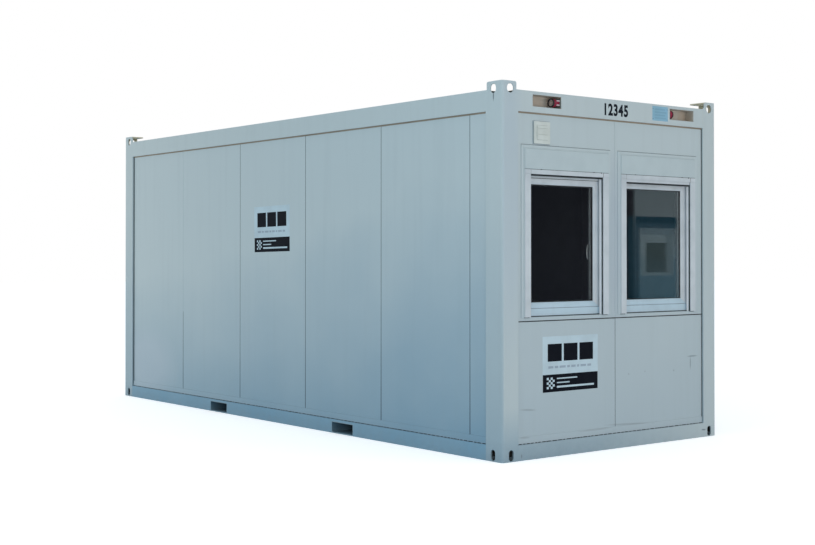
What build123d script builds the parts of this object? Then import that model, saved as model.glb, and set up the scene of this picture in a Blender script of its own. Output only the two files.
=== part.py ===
from build123d import *
import os

# Portable site cabin: a steel frame of castings, posts and rails, filled with sandwich panels.
# Millimetres, +Z up, origin at the middle of the footprint on the ground.
# +X is the end with the two windows, -X the end with the door.

# Overall size
length = 6055
width = 2435
height = 2800

# Fits
clearance = 0.3          # gap where one piece seats on or in another
overcut = 1              # a cut runs this far past the faces it goes through
panel_joint = 2.0        # open joint between neighbouring wall panels

# Corner posts: an L in plan, each arm a closed steel profile
post_face_side = 181     # width of the post seen on a long side
post_face_end = 160      # width of the post seen on an end
post_steel = 4
post_radius = 24         # rounded outer edge
post_arm_return = 15.3   # how far the face laps over the wall panel

# Wall panels
panel_recess = 17.5      # from the frame's face back to the panel's face
panel_thickness = 60
panel_pitch = 1102       # long sides: one panel every pitch, then a filler
least_filler = 60

# Floor frame
floor_rail_height = 117
floor_rail_depth = 92
floor_rail_steel = 4
deck_thickness = 22
cross_member_width = 60
cross_member_height = 80
cross_member_steel = 3
cross_member_spacing = 520

# Fork pockets through the long floor rails
fork_spacing = 2050
fork_width = 300
fork_height = 85
fork_bottom = 9          # underside of the pocket above the ground
fork_steel = 4

# Bottom castings
bottom_casting_wall = 10
bottom_casting_floor = 6
casting_slot_width = 48
casting_slot_height = 82
casting_slot_bottom = 6
casting_slot_from_end = 103
casting_slot_from_side = 88
foot_slot_length = 124
foot_slot_width = 63.5
foot_slot_from_end = 101.5
foot_slot_from_side = 89

# Roof frame
roof_rail_top_below_casting = 60
roof_rail_height = 158
roof_rail_depth = 112
roof_rail_steel = 3
roof_rail_lip_height = 30    # the part of the rail that hangs in front of the wall panels
ledge_width = 40             # carries the ceiling panel
ceiling_thickness = 95
roof_sheet_thickness = 2
roof_seam_spacing = 960
roof_seam_height = 14
roof_seam_width = 8

# Top castings: two upright plates, a shelf and a top plate
top_plate_side = 170
top_plate_end = 142
top_casting_steel = 8
top_plate_steel = 10
top_shelf_below_rail_top = 40
top_corner_radius = 16       # rounded top corners of the plates
top_inner_chamfer = 20
eye_height = 70
eye_above_shelf = 11
eye_side_width = 60
eye_side_from_end = 99
eye_end_width = 66
eye_end_from_side = 81
lift_slot_length = 104
lift_slot_width = 60
lift_slot_from_end = 92
lift_slot_from_side = 78

# Recesses for the power couplings in the roof rail over the windows
recess_width = 298
recess_height = 88
recess_bottom_above_lip = 15
recess_depth = 80
recess_near_from_side = 309
recess_far_from_side = 1855
socket_radius = 34
socket_wall = 5
inlet_length = 78            # the coupling in the near recess
outlet_length = 52           # and the one in the far recess
socket_depth = 38            # axis behind the rail's face
flange_size = 74
flange_thickness = 6

# Base flashing in front of the panel feet
flashing_thickness = 3.5
flashing_bottom_gap = 4
flashing_height = 50

# Window wall
parapet_top = 1022
unit_bottom = 1055
unit_side_offset = 71        # from the post's edge to the shutter guide
unit_set_over = 13           # the far unit sits this much nearer the middle
unit_width = 901
guide_width = 60
guide_depth = 47
guide_wall = 2.5
unit_inset = 1               # the unit stands this far behind the frame's face
box_bottom = 2123
box_height = 187
box_depth = 168
box_wall = 3
box_slot_depth = 26
frame_depth = 63
frame_show_side = 2
frame_show_top = 25
frame_show_bottom = 61
sash_side = 45
sash_top = 46
sash_bottom = 44
sash_set_back = 3
sash_depth = 66
pane_set_back = 15           # pane behind the window frame's face
pane_thickness = 24
trim_width = 28
trim_set_back = 5
handle_plate_height = 70
handle_plate_width = 28
handle_plate_thickness = 9
handle_lever_length = 100
handle_lever_width = 20
handle_lever_thickness = 12
handle_stand_off = 22
handle_above_pane_bottom = 414

# Vent cover over the near window
vent_size = 168
vent_from_side = 327
vent_above_trim = 13
vent_thickness = 16

# Door in the far end
door_width = 875
door_height = 2000
door_frame_face = 45
door_leaf_thickness = 42
door_leaf_set_back = 34
door_frame_set_back = 8
door_gap = 4                 # running gap round the leaf, closed by its three hinges
sill_height = 22
hinge_radius = 8
hinge_length = 110
hinge_end_distance = 220
door_handle_height = 1050
door_plate_from_edge = 80
door_plate_width = 40
door_plate_height = 220
door_plate_thickness = 8
door_lever_length = 130
door_lever_thickness = 14
door_lever_stand_off = 18

# Places that follow from the sizes above
half_length = length / 2
half_width = width / 2
rail_top = height - roof_rail_top_below_casting
rail_bottom = rail_top - roof_rail_height
wall_top = rail_bottom + roof_rail_lip_height
wall_inner = panel_recess + panel_thickness
face_depth = panel_recess - clearance
deck_top = floor_rail_height + deck_thickness
core_side = post_face_side - post_arm_return
core_end = post_face_end - post_arm_return


def block(x, y, z):
    """Box between pairs of coordinates."""
    size = [high - low for low, high in (x, y, z)]
    centre = [(low + high) / 2 for low, high in (x, y, z)]
    return Pos(*centre) * Box(*size)


def tube(x, y, z, steel, along):
    """Hollow rectangular profile, open at both ends along one axis."""
    spans = {"x": x, "y": y, "z": z}
    inner = {
        name: (low - overcut, high + overcut) if name == along else (low + steel, high - steel)
        for name, (low, high) in spans.items()
    }
    return block(x, y, z) - block(inner["x"], inner["y"], inner["z"])


def both_sides(shape):
    """The shape and its mirror image across the cabin's length axis."""
    return [shape, mirror(shape, about=Plane.XZ)]


def both_ends(shape):
    """The shape and its mirror image across the cabin's middle."""
    return [shape, mirror(shape, about=Plane.YZ)]


def four_corners(shape):
    """The shape of the corner at +X, -Y, and its three mirror images."""
    return [copy for end in both_ends(shape) for copy in both_sides(end)]


def save(name, shapes):
    """Write one node: a solid, or several that don't touch."""
    shapes = shapes if isinstance(shapes, list) else [shapes]
    solids = [solid for shape in shapes for solid in shape.solids()]
    part = solids[0] if len(solids) == 1 else Compound(children=solids)
    export_step(part, f"parts/{name}.step")


def from_end(distance):
    """X at a distance in from the window end."""
    return half_length - distance


def from_side(distance):
    """Y at a distance in from the front long side."""
    return distance - half_width


def profile(points, steel):
    """Closed outline with its hollow."""
    outer = make_face(Polyline(*points, close=True))
    return outer - offset(outer, amount=-steel, kind=Kind.INTERSECTION)


def slot_prism(overall_length, slot_width, depth, plane, turned=False):
    """Round-ended slot, centred on a plane and cut both ways through it."""
    sketch = SlotOverall(overall_length, slot_width, rotation=90 if turned else 0)
    return extrude(plane * sketch, depth, both=True)


# ---- Corner castings and posts ----

def side_plane(distance, z):
    """Upright plane on the front long side, at a distance from the window end."""
    return Plane(origin=(from_end(distance), -half_width, z), x_dir=(1, 0, 0), z_dir=(0, -1, 0))


def end_plane(distance, z):
    """Upright plane on the window end, at a distance from the front side."""
    return Plane(origin=(half_length, from_side(distance), z), x_dir=(0, 1, 0), z_dir=(1, 0, 0))


def corner_block(along, across, z, radius):
    """Corner column whose outer upright edge is rounded."""
    column = block((from_end(along), half_length), (-half_width, from_side(across)), z)
    edge = column.edges().filter_by(Axis.Z).sort_by(Axis.Y)[:2].sort_by(Axis.X)[-1]
    return fillet(edge, radius)


def bottom_casting():
    body = corner_block(post_face_side, post_face_end, (0, floor_rail_height), post_radius)
    wall = bottom_casting_wall
    body -= block(
        (from_end(post_face_side - wall), from_end(wall)),
        (from_side(wall), from_side(post_face_end - wall)),
        (bottom_casting_floor, floor_rail_height - wall),
    )
    slot_middle = casting_slot_bottom + casting_slot_height / 2
    for plane in (
        side_plane(casting_slot_from_end, slot_middle),
        end_plane(casting_slot_from_side, slot_middle),
    ):
        body -= slot_prism(casting_slot_height, casting_slot_width, wall + overcut, plane, turned=True)
    foot = Plane(origin=(from_end(foot_slot_from_end), from_side(foot_slot_from_side), 0))
    return body - slot_prism(foot_slot_length, foot_slot_width, bottom_casting_floor + overcut, foot)


def top_casting():
    shelf_top = rail_top - top_shelf_below_rail_top
    steel = top_casting_steel
    lower = corner_block(post_face_side, post_face_end, (wall_top, rail_top), post_radius)
    lower -= block(
        (from_end(post_face_side - steel), from_end(steel)),
        (from_side(steel), from_side(post_face_end - steel)),
        (wall_top + steel, shelf_top - steel),
    )
    lower -= block(
        (from_end(post_face_side + overcut), from_end(steel)),
        (from_side(steel), from_side(post_face_end + overcut)),
        (shelf_top, rail_top + overcut),
    )
    upper = corner_block(top_plate_side, top_plate_end, (rail_top, height), post_radius)
    inner_edge = upper.edges().filter_by(Axis.Z).sort_by(Axis.Y)[-2:].sort_by(Axis.X)[0]
    upper = chamfer(inner_edge, top_inner_chamfer)
    for inner, other in ((Axis.X, Axis.Y), (-Axis.Y, Axis.X)):
        rounded = block(
            (from_end(top_plate_side), half_length),
            (-half_width, from_side(top_plate_end)),
            (rail_top, height),
        )
        top_edges = rounded.faces().sort_by(Axis.Z)[-1].edges().filter_by(other)
        upper &= fillet(top_edges.sort_by(inner)[0], top_corner_radius)
    upper -= block(
        (from_end(top_plate_side + overcut), from_end(steel)),
        (from_side(steel), from_side(top_plate_end + overcut)),
        (rail_top - overcut, height - top_plate_steel),
    )
    casting = lower + upper
    eye_middle = shelf_top + eye_above_shelf + eye_height / 2
    for plane, eye_width in (
        (side_plane(eye_side_from_end, eye_middle), eye_side_width),
        (end_plane(eye_end_from_side, eye_middle), eye_end_width),
    ):
        casting -= slot_prism(eye_height, eye_width, steel + overcut, plane, turned=True)
    lift = Plane(origin=(from_end(lift_slot_from_end), from_side(lift_slot_from_side), height))
    return casting - slot_prism(lift_slot_length, lift_slot_width, top_plate_steel + overcut, lift)


def corner_post():
    # Plan of the post, as distances from the window end and from the front side
    plan = [
        (0, 0),
        (post_face_side, 0),
        (post_face_side, face_depth),
        (core_side, face_depth),
        (core_side, wall_inner),
        (wall_inner, wall_inner),
        (wall_inner, core_end),
        (face_depth, core_end),
        (face_depth, post_face_end),
        (0, post_face_end),
    ]
    points = [(from_end(along), from_side(across)) for along, across in plan]
    outline = make_face(Polyline(*points, close=True))
    corner = outline.vertices().sort_by(Axis.Y)[:2].sort_by(Axis.X)[-1]
    outline = fillet(corner, post_radius)
    hollow = offset(outline, amount=-post_steel, kind=Kind.INTERSECTION)
    return Pos(0, 0, floor_rail_height) * extrude(outline - hollow, wall_top - floor_rail_height)


# ---- Floor frame ----

fork_middle = fork_bottom + fork_height / 2
fork_outer = (fork_width + 2 * fork_steel, fork_height + 2 * fork_steel)


def long_floor_rail():
    reach = half_length - post_face_side
    rail = tube(
        (-reach, reach),
        (from_side(0), from_side(floor_rail_depth)),
        (0, floor_rail_height),
        floor_rail_steel,
        "x",
    )
    for side in (-1, 1):
        middle = side * fork_spacing / 2
        reach = fork_outer[0] / 2 + clearance
        rise = fork_outer[1] / 2 + clearance
        rail -= block(
            (middle - reach, middle + reach),
            (from_side(-overcut), from_side(floor_rail_depth + overcut)),
            (fork_middle - rise, fork_middle + rise),
        )
    return rail


def end_floor_rail():
    return tube(
        (from_end(floor_rail_depth), from_end(0)),
        (from_side(post_face_end), -from_side(post_face_end)),
        (0, floor_rail_height),
        floor_rail_steel,
        "y",
    )


def fork_pockets():
    reach = fork_outer[0] / 2
    pocket = tube(
        (fork_spacing / 2 - reach, fork_spacing / 2 + reach),
        (-half_width, half_width),
        (fork_bottom - fork_steel, fork_bottom + fork_height + fork_steel),
        fork_steel,
        "y",
    )
    return both_ends(pocket)


def cross_members():
    """Tubes across the floor, one between each pair of fork pockets and evenly either side."""
    run = half_width - floor_rail_depth - clearance
    fork_edge = fork_outer[0] / 2 + cross_member_width / 2 + clearance
    first = fork_spacing / 2 + fork_edge
    last = half_length - post_face_side - cross_member_width / 2 - clearance
    outer_count = max(1, int((last - first) // cross_member_spacing))
    inner_edge = fork_spacing / 2 - fork_edge
    inner_count = max(1, int(2 * inner_edge // cross_member_spacing))
    outer = [first + (last - first) * i / outer_count for i in range(outer_count + 1)]
    inner = [inner_edge * (2 * i / inner_count - 1) for i in range(inner_count + 1)]
    top = floor_rail_height
    return [
        tube(
            (x - cross_member_width / 2, x + cross_member_width / 2),
            (-run, run),
            (top - cross_member_height, top),
            cross_member_steel,
            "y",
        )
        for x in [-x for x in outer] + inner + outer
    ]


def floor_deck():
    inside = wall_inner + clearance
    deck = block(
        (-from_end(inside), from_end(inside)),
        (from_side(inside), -from_side(inside)),
        (floor_rail_height, deck_top),
    )
    for post in four_corners(corner_cut()):
        deck -= post
    return deck


def corner_cut():
    """Room that the posts' inner corner takes from a floor or ceiling board."""
    inside = wall_inner + clearance
    return block(
        (from_end(inside), half_length), (-half_width, from_side(inside)), (0, height)
    )


# ---- Walls ----

side_start = core_side + clearance
side_run = length - 2 * side_start
panel_count = int((side_run - least_filler) // panel_pitch)


def side_panel(first, last):
    """Panel of a long side, between distances from the door end."""
    return block(
        (first - half_length, last - half_length),
        (from_side(panel_recess), from_side(wall_inner)),
        (floor_rail_height, wall_top),
    )


def side_panels():
    edges = [side_start + i * panel_pitch for i in range(panel_count + 1)]
    gap = panel_joint / 2
    return [
        side_panel(low if low == side_start else low + gap, high - gap)
        for low, high in zip(edges, edges[1:])
    ]


def side_filler():
    return side_panel(side_start + panel_count * panel_pitch + panel_joint / 2, length - side_start)


def end_panel(first, last, z):
    """Panel of the window end, between distances from the front side."""
    return block(
        (from_end(wall_inner), from_end(panel_recess)), (from_side(first), from_side(last)), z
    )


end_start = core_end + clearance
end_panel_width = (width - 2 * post_face_end) / 2
end_halves = [
    (end_start, width / 2 - panel_joint / 2),
    (width / 2 + panel_joint / 2, width - end_start),
]
box_top = box_bottom + box_height
unit_pitch = end_panel_width - unit_set_over
unit_starts = [post_face_end + unit_side_offset + i * unit_pitch for i in range(2)]


def window_panels():
    panels = []
    for (first, last), start in zip(end_halves, unit_starts):
        panel = end_panel(first, last, (parapet_top + panel_joint / 2, wall_top))
        hole = end_panel(
            start - clearance, start + unit_width + clearance, (unit_bottom, box_top + clearance)
        )
        panels.append(panel - hole)
    return panels


def parapet_panels():
    z = (floor_rail_height, parapet_top - panel_joint / 2)
    return [end_panel(first, last, z) for first, last in end_halves]


def base_flashings():
    z_low = floor_rail_height + flashing_bottom_gap
    z = (z_low, z_low + flashing_height)
    depth = (face_depth - flashing_thickness, face_depth)
    side = block(
        (-from_end(post_face_side + clearance), from_end(post_face_side + clearance)),
        (from_side(depth[0]), from_side(depth[1])),
        z,
    )
    end = block(
        (from_end(depth[1]), from_end(depth[0])),
        (from_side(post_face_end + clearance), -from_side(post_face_end + clearance)),
        z,
    )
    return both_sides(side) + [end]


# ---- Roof ----

def rail_outline():
    """Section of a roof rail as distances in from the face, and heights."""
    return [
        (0, rail_bottom),
        (face_depth, rail_bottom),
        (face_depth, wall_top),
        (roof_rail_depth, wall_top),
        (roof_rail_depth, rail_top),
        (0, rail_top),
    ]


def long_roof_rail():
    reach = half_length - post_face_side
    points = [(-reach, from_side(depth), z) for depth, z in rail_outline()]
    rail = extrude(profile(points, roof_rail_steel), 2 * reach, dir=(1, 0, 0))
    ledge = block(
        (-reach, reach),
        (from_side(roof_rail_depth), from_side(roof_rail_depth + ledge_width)),
        (wall_top, wall_top + roof_rail_steel),
    )
    return rail + ledge


def end_roof_rail():
    reach = half_width - post_face_end
    points = [(from_end(depth), -reach, z) for depth, z in rail_outline()]
    rail = extrude(profile(points, roof_rail_steel), 2 * reach, dir=(0, 1, 0))
    ledge = block(
        (from_end(roof_rail_depth + ledge_width), from_end(roof_rail_depth)),
        (-reach, reach),
        (wall_top, wall_top + roof_rail_steel),
    )
    return rail + ledge


recess_z = (
    wall_top + recess_bottom_above_lip,
    wall_top + recess_bottom_above_lip + recess_height,
)


def recessed_roof_rail():
    rail = end_roof_rail()
    for start in (recess_near_from_side, recess_far_from_side):
        steel = roof_rail_steel
        rail += block(
            (from_end(recess_depth + steel), from_end(0)),
            (from_side(start - steel), from_side(start + recess_width + steel)),
            (recess_z[0] - steel, recess_z[1] + steel),
        )
        rail -= block(
            (from_end(recess_depth), from_end(-overcut)),
            (from_side(start), from_side(start + recess_width)),
            recess_z,
        )
    return rail


def power_sockets():
    """A coupling on the far wall of the near recess, and one on the near wall of the other."""
    middle_z = sum(recess_z) / 2
    x = from_end(socket_depth)
    sockets = []
    for wall, towards, reach in (
        (from_side(recess_near_from_side + recess_width), -1, inlet_length),
        (from_side(recess_far_from_side), 1, outlet_length),
    ):
        flange = block(
            (x - flange_size / 2, x + flange_size / 2),
            sorted((wall, wall + towards * flange_thickness)),
            (middle_z - flange_size / 2, middle_z + flange_size / 2),
        )
        body = Pos(x, wall + towards * reach / 2, middle_z) * Rot(90, 0, 0) * Cylinder(
            socket_radius, reach
        )
        mouth = Pos(x, wall + towards * reach, middle_z) * Rot(90, 0, 0) * Cylinder(
            socket_radius - socket_wall, reach
        )
        sockets.append(flange + body - mouth)
    return sockets


def ceiling_panel():
    inside = roof_rail_depth + clearance
    z_low = wall_top + roof_rail_steel
    panel = block(
        (-from_end(inside), from_end(inside)),
        (from_side(inside), -from_side(inside)),
        (z_low, z_low + ceiling_thickness),
    )
    for corner in four_corners(casting_cut()):
        panel -= corner
    return panel


def casting_cut():
    """Room that the top castings take from the ceiling panel and the roof sheet."""
    return block(
        (from_end(post_face_side + clearance), half_length),
        (-half_width, from_side(post_face_end + clearance)),
        (0, height),
    )


def roof_sheet():
    inside = roof_rail_depth + clearance
    z_low = wall_top + roof_rail_steel + ceiling_thickness
    sheet = block(
        (-from_end(inside), from_end(inside)),
        (from_side(inside), -from_side(inside)),
        (z_low, z_low + roof_sheet_thickness),
    )
    seam_count = max(1, int((length - 2 * post_face_side) // roof_seam_spacing))
    first = -(seam_count - 1) * roof_seam_spacing / 2
    for i in range(seam_count):
        x = first + i * roof_seam_spacing
        sheet += block(
            (x - roof_seam_width / 2, x + roof_seam_width / 2),
            (from_side(inside), -from_side(inside)),
            (z_low, z_low + roof_seam_height),
        )
    for corner in four_corners(casting_cut()):
        sheet -= corner
    return sheet


# ---- Windows ----

frame_face = unit_inset + guide_depth + clearance


def unit_block(start, depth, y, z):
    """Block in a window unit: depths behind the frame's face, and distances across the unit."""
    return block(
        (from_end(depth[1]), from_end(depth[0])),
        (from_side(start + y[0]), from_side(start + y[1])),
        z,
    )


frame_opening_y = (guide_width + frame_show_side, unit_width - guide_width - frame_show_side)
frame_opening_z = (unit_bottom + frame_show_bottom, box_bottom - frame_show_top)
pane_y = (frame_opening_y[0] + sash_side, frame_opening_y[1] - sash_side)
pane_z = (frame_opening_z[0] + sash_bottom, frame_opening_z[1] - sash_top)


def window_frame(start):
    depth = (frame_face, frame_face + frame_depth)
    z = (unit_bottom + clearance, box_bottom - clearance)
    ring = unit_block(start, depth, (0, unit_width), z)
    through = (depth[0] - overcut, depth[1] + overcut)
    return ring - unit_block(start, through, frame_opening_y, frame_opening_z)


def window_sash(start):
    depth = (frame_face + sash_set_back, frame_face + sash_set_back + sash_depth)
    outer_y = (frame_opening_y[0] + clearance, frame_opening_y[1] - clearance)
    outer_z = (frame_opening_z[0] + clearance, frame_opening_z[1] - clearance)
    through = (depth[0] - overcut, depth[1] + overcut)
    return unit_block(start, depth, outer_y, outer_z) - unit_block(start, through, pane_y, pane_z)


def window_pane(start):
    low = frame_face + pane_set_back
    return unit_block(
        start,
        (low, low + pane_thickness),
        (pane_y[0] + clearance, pane_y[1] - clearance),
        (pane_z[0] + clearance, pane_z[1] - clearance),
    )


def shutter_box(start):
    depth = (unit_inset, unit_inset + box_depth)
    z = (box_bottom, box_top)
    box = unit_block(start, depth, (0, unit_width), z)
    box -= unit_block(
        start,
        (depth[0] + box_wall, depth[1] - box_wall),
        (box_wall, unit_width - box_wall),
        (z[0] + box_wall, z[1] - box_wall),
    )
    return box - unit_block(
        start,
        (depth[0] + box_wall, depth[0] + box_wall + box_slot_depth),
        (guide_width, unit_width - guide_width),
        (z[0] - overcut, z[0] + box_wall + overcut),
    )


def shutter_guides(start):
    """Two hollow rails in front of the window frame."""
    guides = []
    for low in (0, unit_width - guide_width):
        guides.append(
            tube(
                (from_end(unit_inset + guide_depth), from_end(unit_inset)),
                (from_side(start + low), from_side(start + low + guide_width)),
                (unit_bottom + clearance, box_bottom - clearance),
                guide_wall,
                "z",
            )
        )
    return guides


def window_trim(start):
    """Cover strip on the panel, down both sides of the unit and over it."""
    depth = (trim_set_back, face_depth)
    outer = unit_block(
        start, depth, (-trim_width, unit_width + trim_width), (unit_bottom, box_top + trim_width)
    )
    inner = (-clearance, unit_width + clearance)
    through = (depth[0] - overcut, depth[1] + overcut)
    return outer - unit_block(start, through, inner, (unit_bottom - overcut, box_top + clearance))


def window_handle(start):
    """Turn handle on the room side of the sash's far upright."""
    face = frame_face + sash_set_back + sash_depth
    middle = (pane_y[1] + frame_opening_y[1]) / 2
    z = pane_z[0] + handle_above_pane_bottom
    plate = unit_block(
        start,
        (face, face + handle_plate_thickness),
        (middle - handle_plate_width / 2, middle + handle_plate_width / 2),
        (z - handle_plate_height / 2, z + handle_plate_height / 2),
    )
    neck = unit_block(
        start,
        (face, face + handle_stand_off + handle_lever_thickness),
        (middle - handle_lever_width / 2, middle + handle_lever_width / 2),
        (z - handle_lever_width / 2, z + handle_lever_width / 2),
    )
    lever = unit_block(
        start,
        (face + handle_stand_off, face + handle_stand_off + handle_lever_thickness),
        (middle - handle_lever_width / 2, middle + handle_lever_width / 2),
        (z + handle_lever_width / 2 - handle_lever_length, z + handle_lever_width / 2),
    )
    return plate + neck + lever


def vent_cover():
    bottom = box_top + trim_width + vent_above_trim
    return block(
        (from_end(face_depth), from_end(face_depth - vent_thickness)),
        (from_side(vent_from_side), from_side(vent_from_side + vent_size)),
        (bottom, bottom + vent_size),
    )


# ---- Door end, modelled as distances from the door end and from the front side ----

door_middle = width / 2 + end_panel_width / 2
door_frame_width = door_width + 2 * door_frame_face
door_frame_top = deck_top + door_height + door_frame_face


def door_block(depth, y, z):
    """Block in the door end: depths behind the frame's face, and distances from the front side."""
    return block(
        (depth[0] - half_length, depth[1] - half_length),
        (from_side(y[0]), from_side(y[1])),
        z,
    )


def door_wall_panels():
    """Plain panel, and three pieces round the door."""
    depth = (panel_recess, wall_inner)
    low = door_middle - door_frame_width / 2 - clearance
    high = door_middle + door_frame_width / 2 + clearance
    plain = door_block(depth, end_halves[0], (floor_rail_height, wall_top))
    left = door_block(depth, (end_halves[1][0], low), (floor_rail_height, wall_top))
    right = door_block(depth, (high, end_halves[1][1]), (floor_rail_height, wall_top))
    header = door_block(
        depth, (low + clearance, high - clearance), (door_frame_top + clearance, wall_top)
    )
    return [plain, left, right, header]


def door_flashing():
    """Base flashing of the door end, interrupted by the door."""
    z_low = floor_rail_height + flashing_bottom_gap
    return door_block(
        (face_depth - flashing_thickness, face_depth),
        (post_face_end + clearance, door_middle - door_frame_width / 2 - clearance),
        (z_low, z_low + flashing_height),
    )


def door_frame():
    depth = (door_frame_set_back, wall_inner)
    half = door_frame_width / 2
    ring = door_block(
        depth, (door_middle - half, door_middle + half), (floor_rail_height, door_frame_top)
    )
    return ring - door_block(
        (depth[0] - overcut, depth[1] + overcut),
        (door_middle - door_width / 2, door_middle + door_width / 2),
        (floor_rail_height + sill_height, door_frame_top - door_frame_face),
    )


def door_leaf():
    reach = door_width / 2 - door_gap
    return door_block(
        (door_leaf_set_back, door_leaf_set_back + door_leaf_thickness),
        (door_middle - reach, door_middle + reach),
        (floor_rail_height + sill_height + clearance, door_frame_top - door_frame_face - door_gap),
    )


def door_fittings():
    """Three hinges on the frame and leaf, and a lever with its plate on each face."""
    hinge_y = door_middle + door_width / 2 - hinge_radius - clearance
    hinge_x = door_leaf_set_back - hinge_radius - clearance - half_length
    leaf_bottom = floor_rail_height + sill_height
    leaf_top = door_frame_top - door_frame_face
    heights = [
        leaf_bottom + hinge_end_distance,
        (leaf_bottom + leaf_top) / 2,
        leaf_top - hinge_end_distance,
    ]
    hinges = [
        Pos(hinge_x, from_side(hinge_y), z) * Cylinder(hinge_radius, hinge_length)
        for z in heights
    ]
    z = leaf_bottom + door_handle_height
    y = door_middle - door_width / 2 + door_plate_from_edge
    reach = door_lever_thickness / 2
    faces = [
        (door_leaf_set_back, -1),
        (door_leaf_set_back + door_leaf_thickness, 1),
    ]
    levers = []
    for face, out in faces:
        plate = door_block(
            sorted((face, face + out * door_plate_thickness)),
            (y - door_plate_width / 2, y + door_plate_width / 2),
            (z - door_plate_height / 2, z + door_plate_height / 2),
        )
        lever_back = face + out * door_lever_stand_off
        lever_front = lever_back + out * door_lever_thickness
        neck = door_block(sorted((face, lever_front)), (y - reach, y + reach), (z - reach, z + reach))
        lever = door_block(
            sorted((lever_back, lever_front)),
            (y - reach, y - reach + door_lever_length),
            (z - reach, z + reach),
        )
        levers.append(plate + neck + lever)
    return hinges + levers


os.makedirs("parts", exist_ok=True)

save("bottom_castings", four_corners(bottom_casting()))
save("top_castings", four_corners(top_casting()))
for side, near in (("front", False), ("rear", True)):
    for end, far in (("window_end", False), ("door_end", True)):
        post = corner_post()
        post = mirror(post, about=Plane.XZ) if near else post
        post = mirror(post, about=Plane.YZ) if far else post
        save(f"post_{side}_{end}", post)

floor_rail = long_floor_rail()
roof_rail = long_roof_rail()
save("floor_rail_front", floor_rail)
save("floor_rail_rear", mirror(floor_rail, about=Plane.XZ))
save("floor_rails_end", both_ends(end_floor_rail()))
save("fork_pockets", fork_pockets())
save("cross_members", cross_members())
save("floor_deck", floor_deck())

save("roof_rail_front", roof_rail)
save("roof_rail_rear", mirror(roof_rail, about=Plane.XZ))
save("roof_rail_door_end", mirror(end_roof_rail(), about=Plane.YZ))
save("roof_rail_window_end", recessed_roof_rail())
save("power_sockets", power_sockets())
save("ceiling_panel", ceiling_panel())
save("roof_sheet", roof_sheet())

for number, panel in enumerate(side_panels(), 1):
    save(f"front_wall_panel_{number}", panel)
    save(f"rear_wall_panel_{number}", mirror(panel, about=Plane.XZ))
save("wall_fillers", both_sides(side_filler()))
save("window_wall_panels", window_panels())
save("parapet_panels", parapet_panels())
save("door_wall_panels", door_wall_panels())
save("base_flashings", base_flashings() + [door_flashing()])

save("window_frames", [window_frame(start) for start in unit_starts])
save("window_sashes", [window_sash(start) for start in unit_starts])
save("window_panes", [window_pane(start) for start in unit_starts])
save("shutter_boxes", [shutter_box(start) for start in unit_starts])
save("shutter_guides", [guide for start in unit_starts for guide in shutter_guides(start)])
save("window_trims", [window_trim(start) for start in unit_starts])
save("window_handles", [window_handle(start) for start in unit_starts])
save("vent_cover", vent_cover())

save("door_frame", door_frame())
save("door_leaf", door_leaf())
save("door_fittings", door_fittings())
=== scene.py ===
import functools
import itertools
import math
import random

import bmesh
import bpy
from mathutils import Matrix, Vector


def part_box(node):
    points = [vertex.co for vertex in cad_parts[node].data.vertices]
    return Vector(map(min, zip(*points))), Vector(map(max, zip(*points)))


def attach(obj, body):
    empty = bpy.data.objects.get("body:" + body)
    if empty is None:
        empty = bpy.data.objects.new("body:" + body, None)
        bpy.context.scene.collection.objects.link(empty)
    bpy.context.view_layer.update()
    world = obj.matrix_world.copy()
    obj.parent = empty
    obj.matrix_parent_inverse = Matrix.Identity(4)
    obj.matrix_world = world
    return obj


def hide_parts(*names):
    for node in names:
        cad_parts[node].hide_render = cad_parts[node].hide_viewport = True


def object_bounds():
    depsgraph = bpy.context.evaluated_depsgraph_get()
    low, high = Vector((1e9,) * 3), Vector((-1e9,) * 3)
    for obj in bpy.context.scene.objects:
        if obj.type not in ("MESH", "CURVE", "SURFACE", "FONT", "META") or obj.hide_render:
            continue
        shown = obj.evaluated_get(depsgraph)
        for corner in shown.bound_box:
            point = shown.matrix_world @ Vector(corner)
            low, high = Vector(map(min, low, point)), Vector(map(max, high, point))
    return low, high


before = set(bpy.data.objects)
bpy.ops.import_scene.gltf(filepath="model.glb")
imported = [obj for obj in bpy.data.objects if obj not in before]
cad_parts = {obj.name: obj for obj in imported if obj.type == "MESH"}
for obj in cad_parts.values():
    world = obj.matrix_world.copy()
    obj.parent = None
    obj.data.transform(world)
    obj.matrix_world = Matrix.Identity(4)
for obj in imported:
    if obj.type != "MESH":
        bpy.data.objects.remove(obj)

# Portable site cabin: steel frame, sandwich panels, two shuttered windows in one end, a door in the other.
# Metres, +Z up. +X is the window end, -Y the front long side.

cadBox = [list(corner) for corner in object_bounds()]
halfLength, halfWidth, roofHeight = cadBox[1]
mm = 0.001
weldDistance = 0.02 * mm
random.seed(12)


def inMetres(**sizes):
    # sizes written in millimetres
    return {name: size * mm for name, size in sizes.items()}


# Places. A facade's own axes are u to the right, v into the cabin and w up, seen from outside.

facades = {"front": 0, "windowEnd": 90, "rear": 180, "doorEnd": -90}
longSides = ("front", "rear")


def facadeMatrix(facade):
    across, forward = (halfLength, halfWidth) if facade in longSides else (halfWidth, halfLength)
    turn = Matrix.Rotation(math.radians(facades[facade]), 4, "Z")
    return turn @ Matrix.Translation((-across, -forward, 0))


def facadeWidth(facade):
    return 2 * (halfLength if facade in longSides else halfWidth)


def nodeShape(node):
    # a CAD node's shape with its loose triangles welded
    bm = bmesh.new()
    bm.from_mesh(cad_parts[node].data)
    bmesh.ops.remove_doubles(bm, verts=bm.verts, dist=weldDistance)
    return bm


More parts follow.
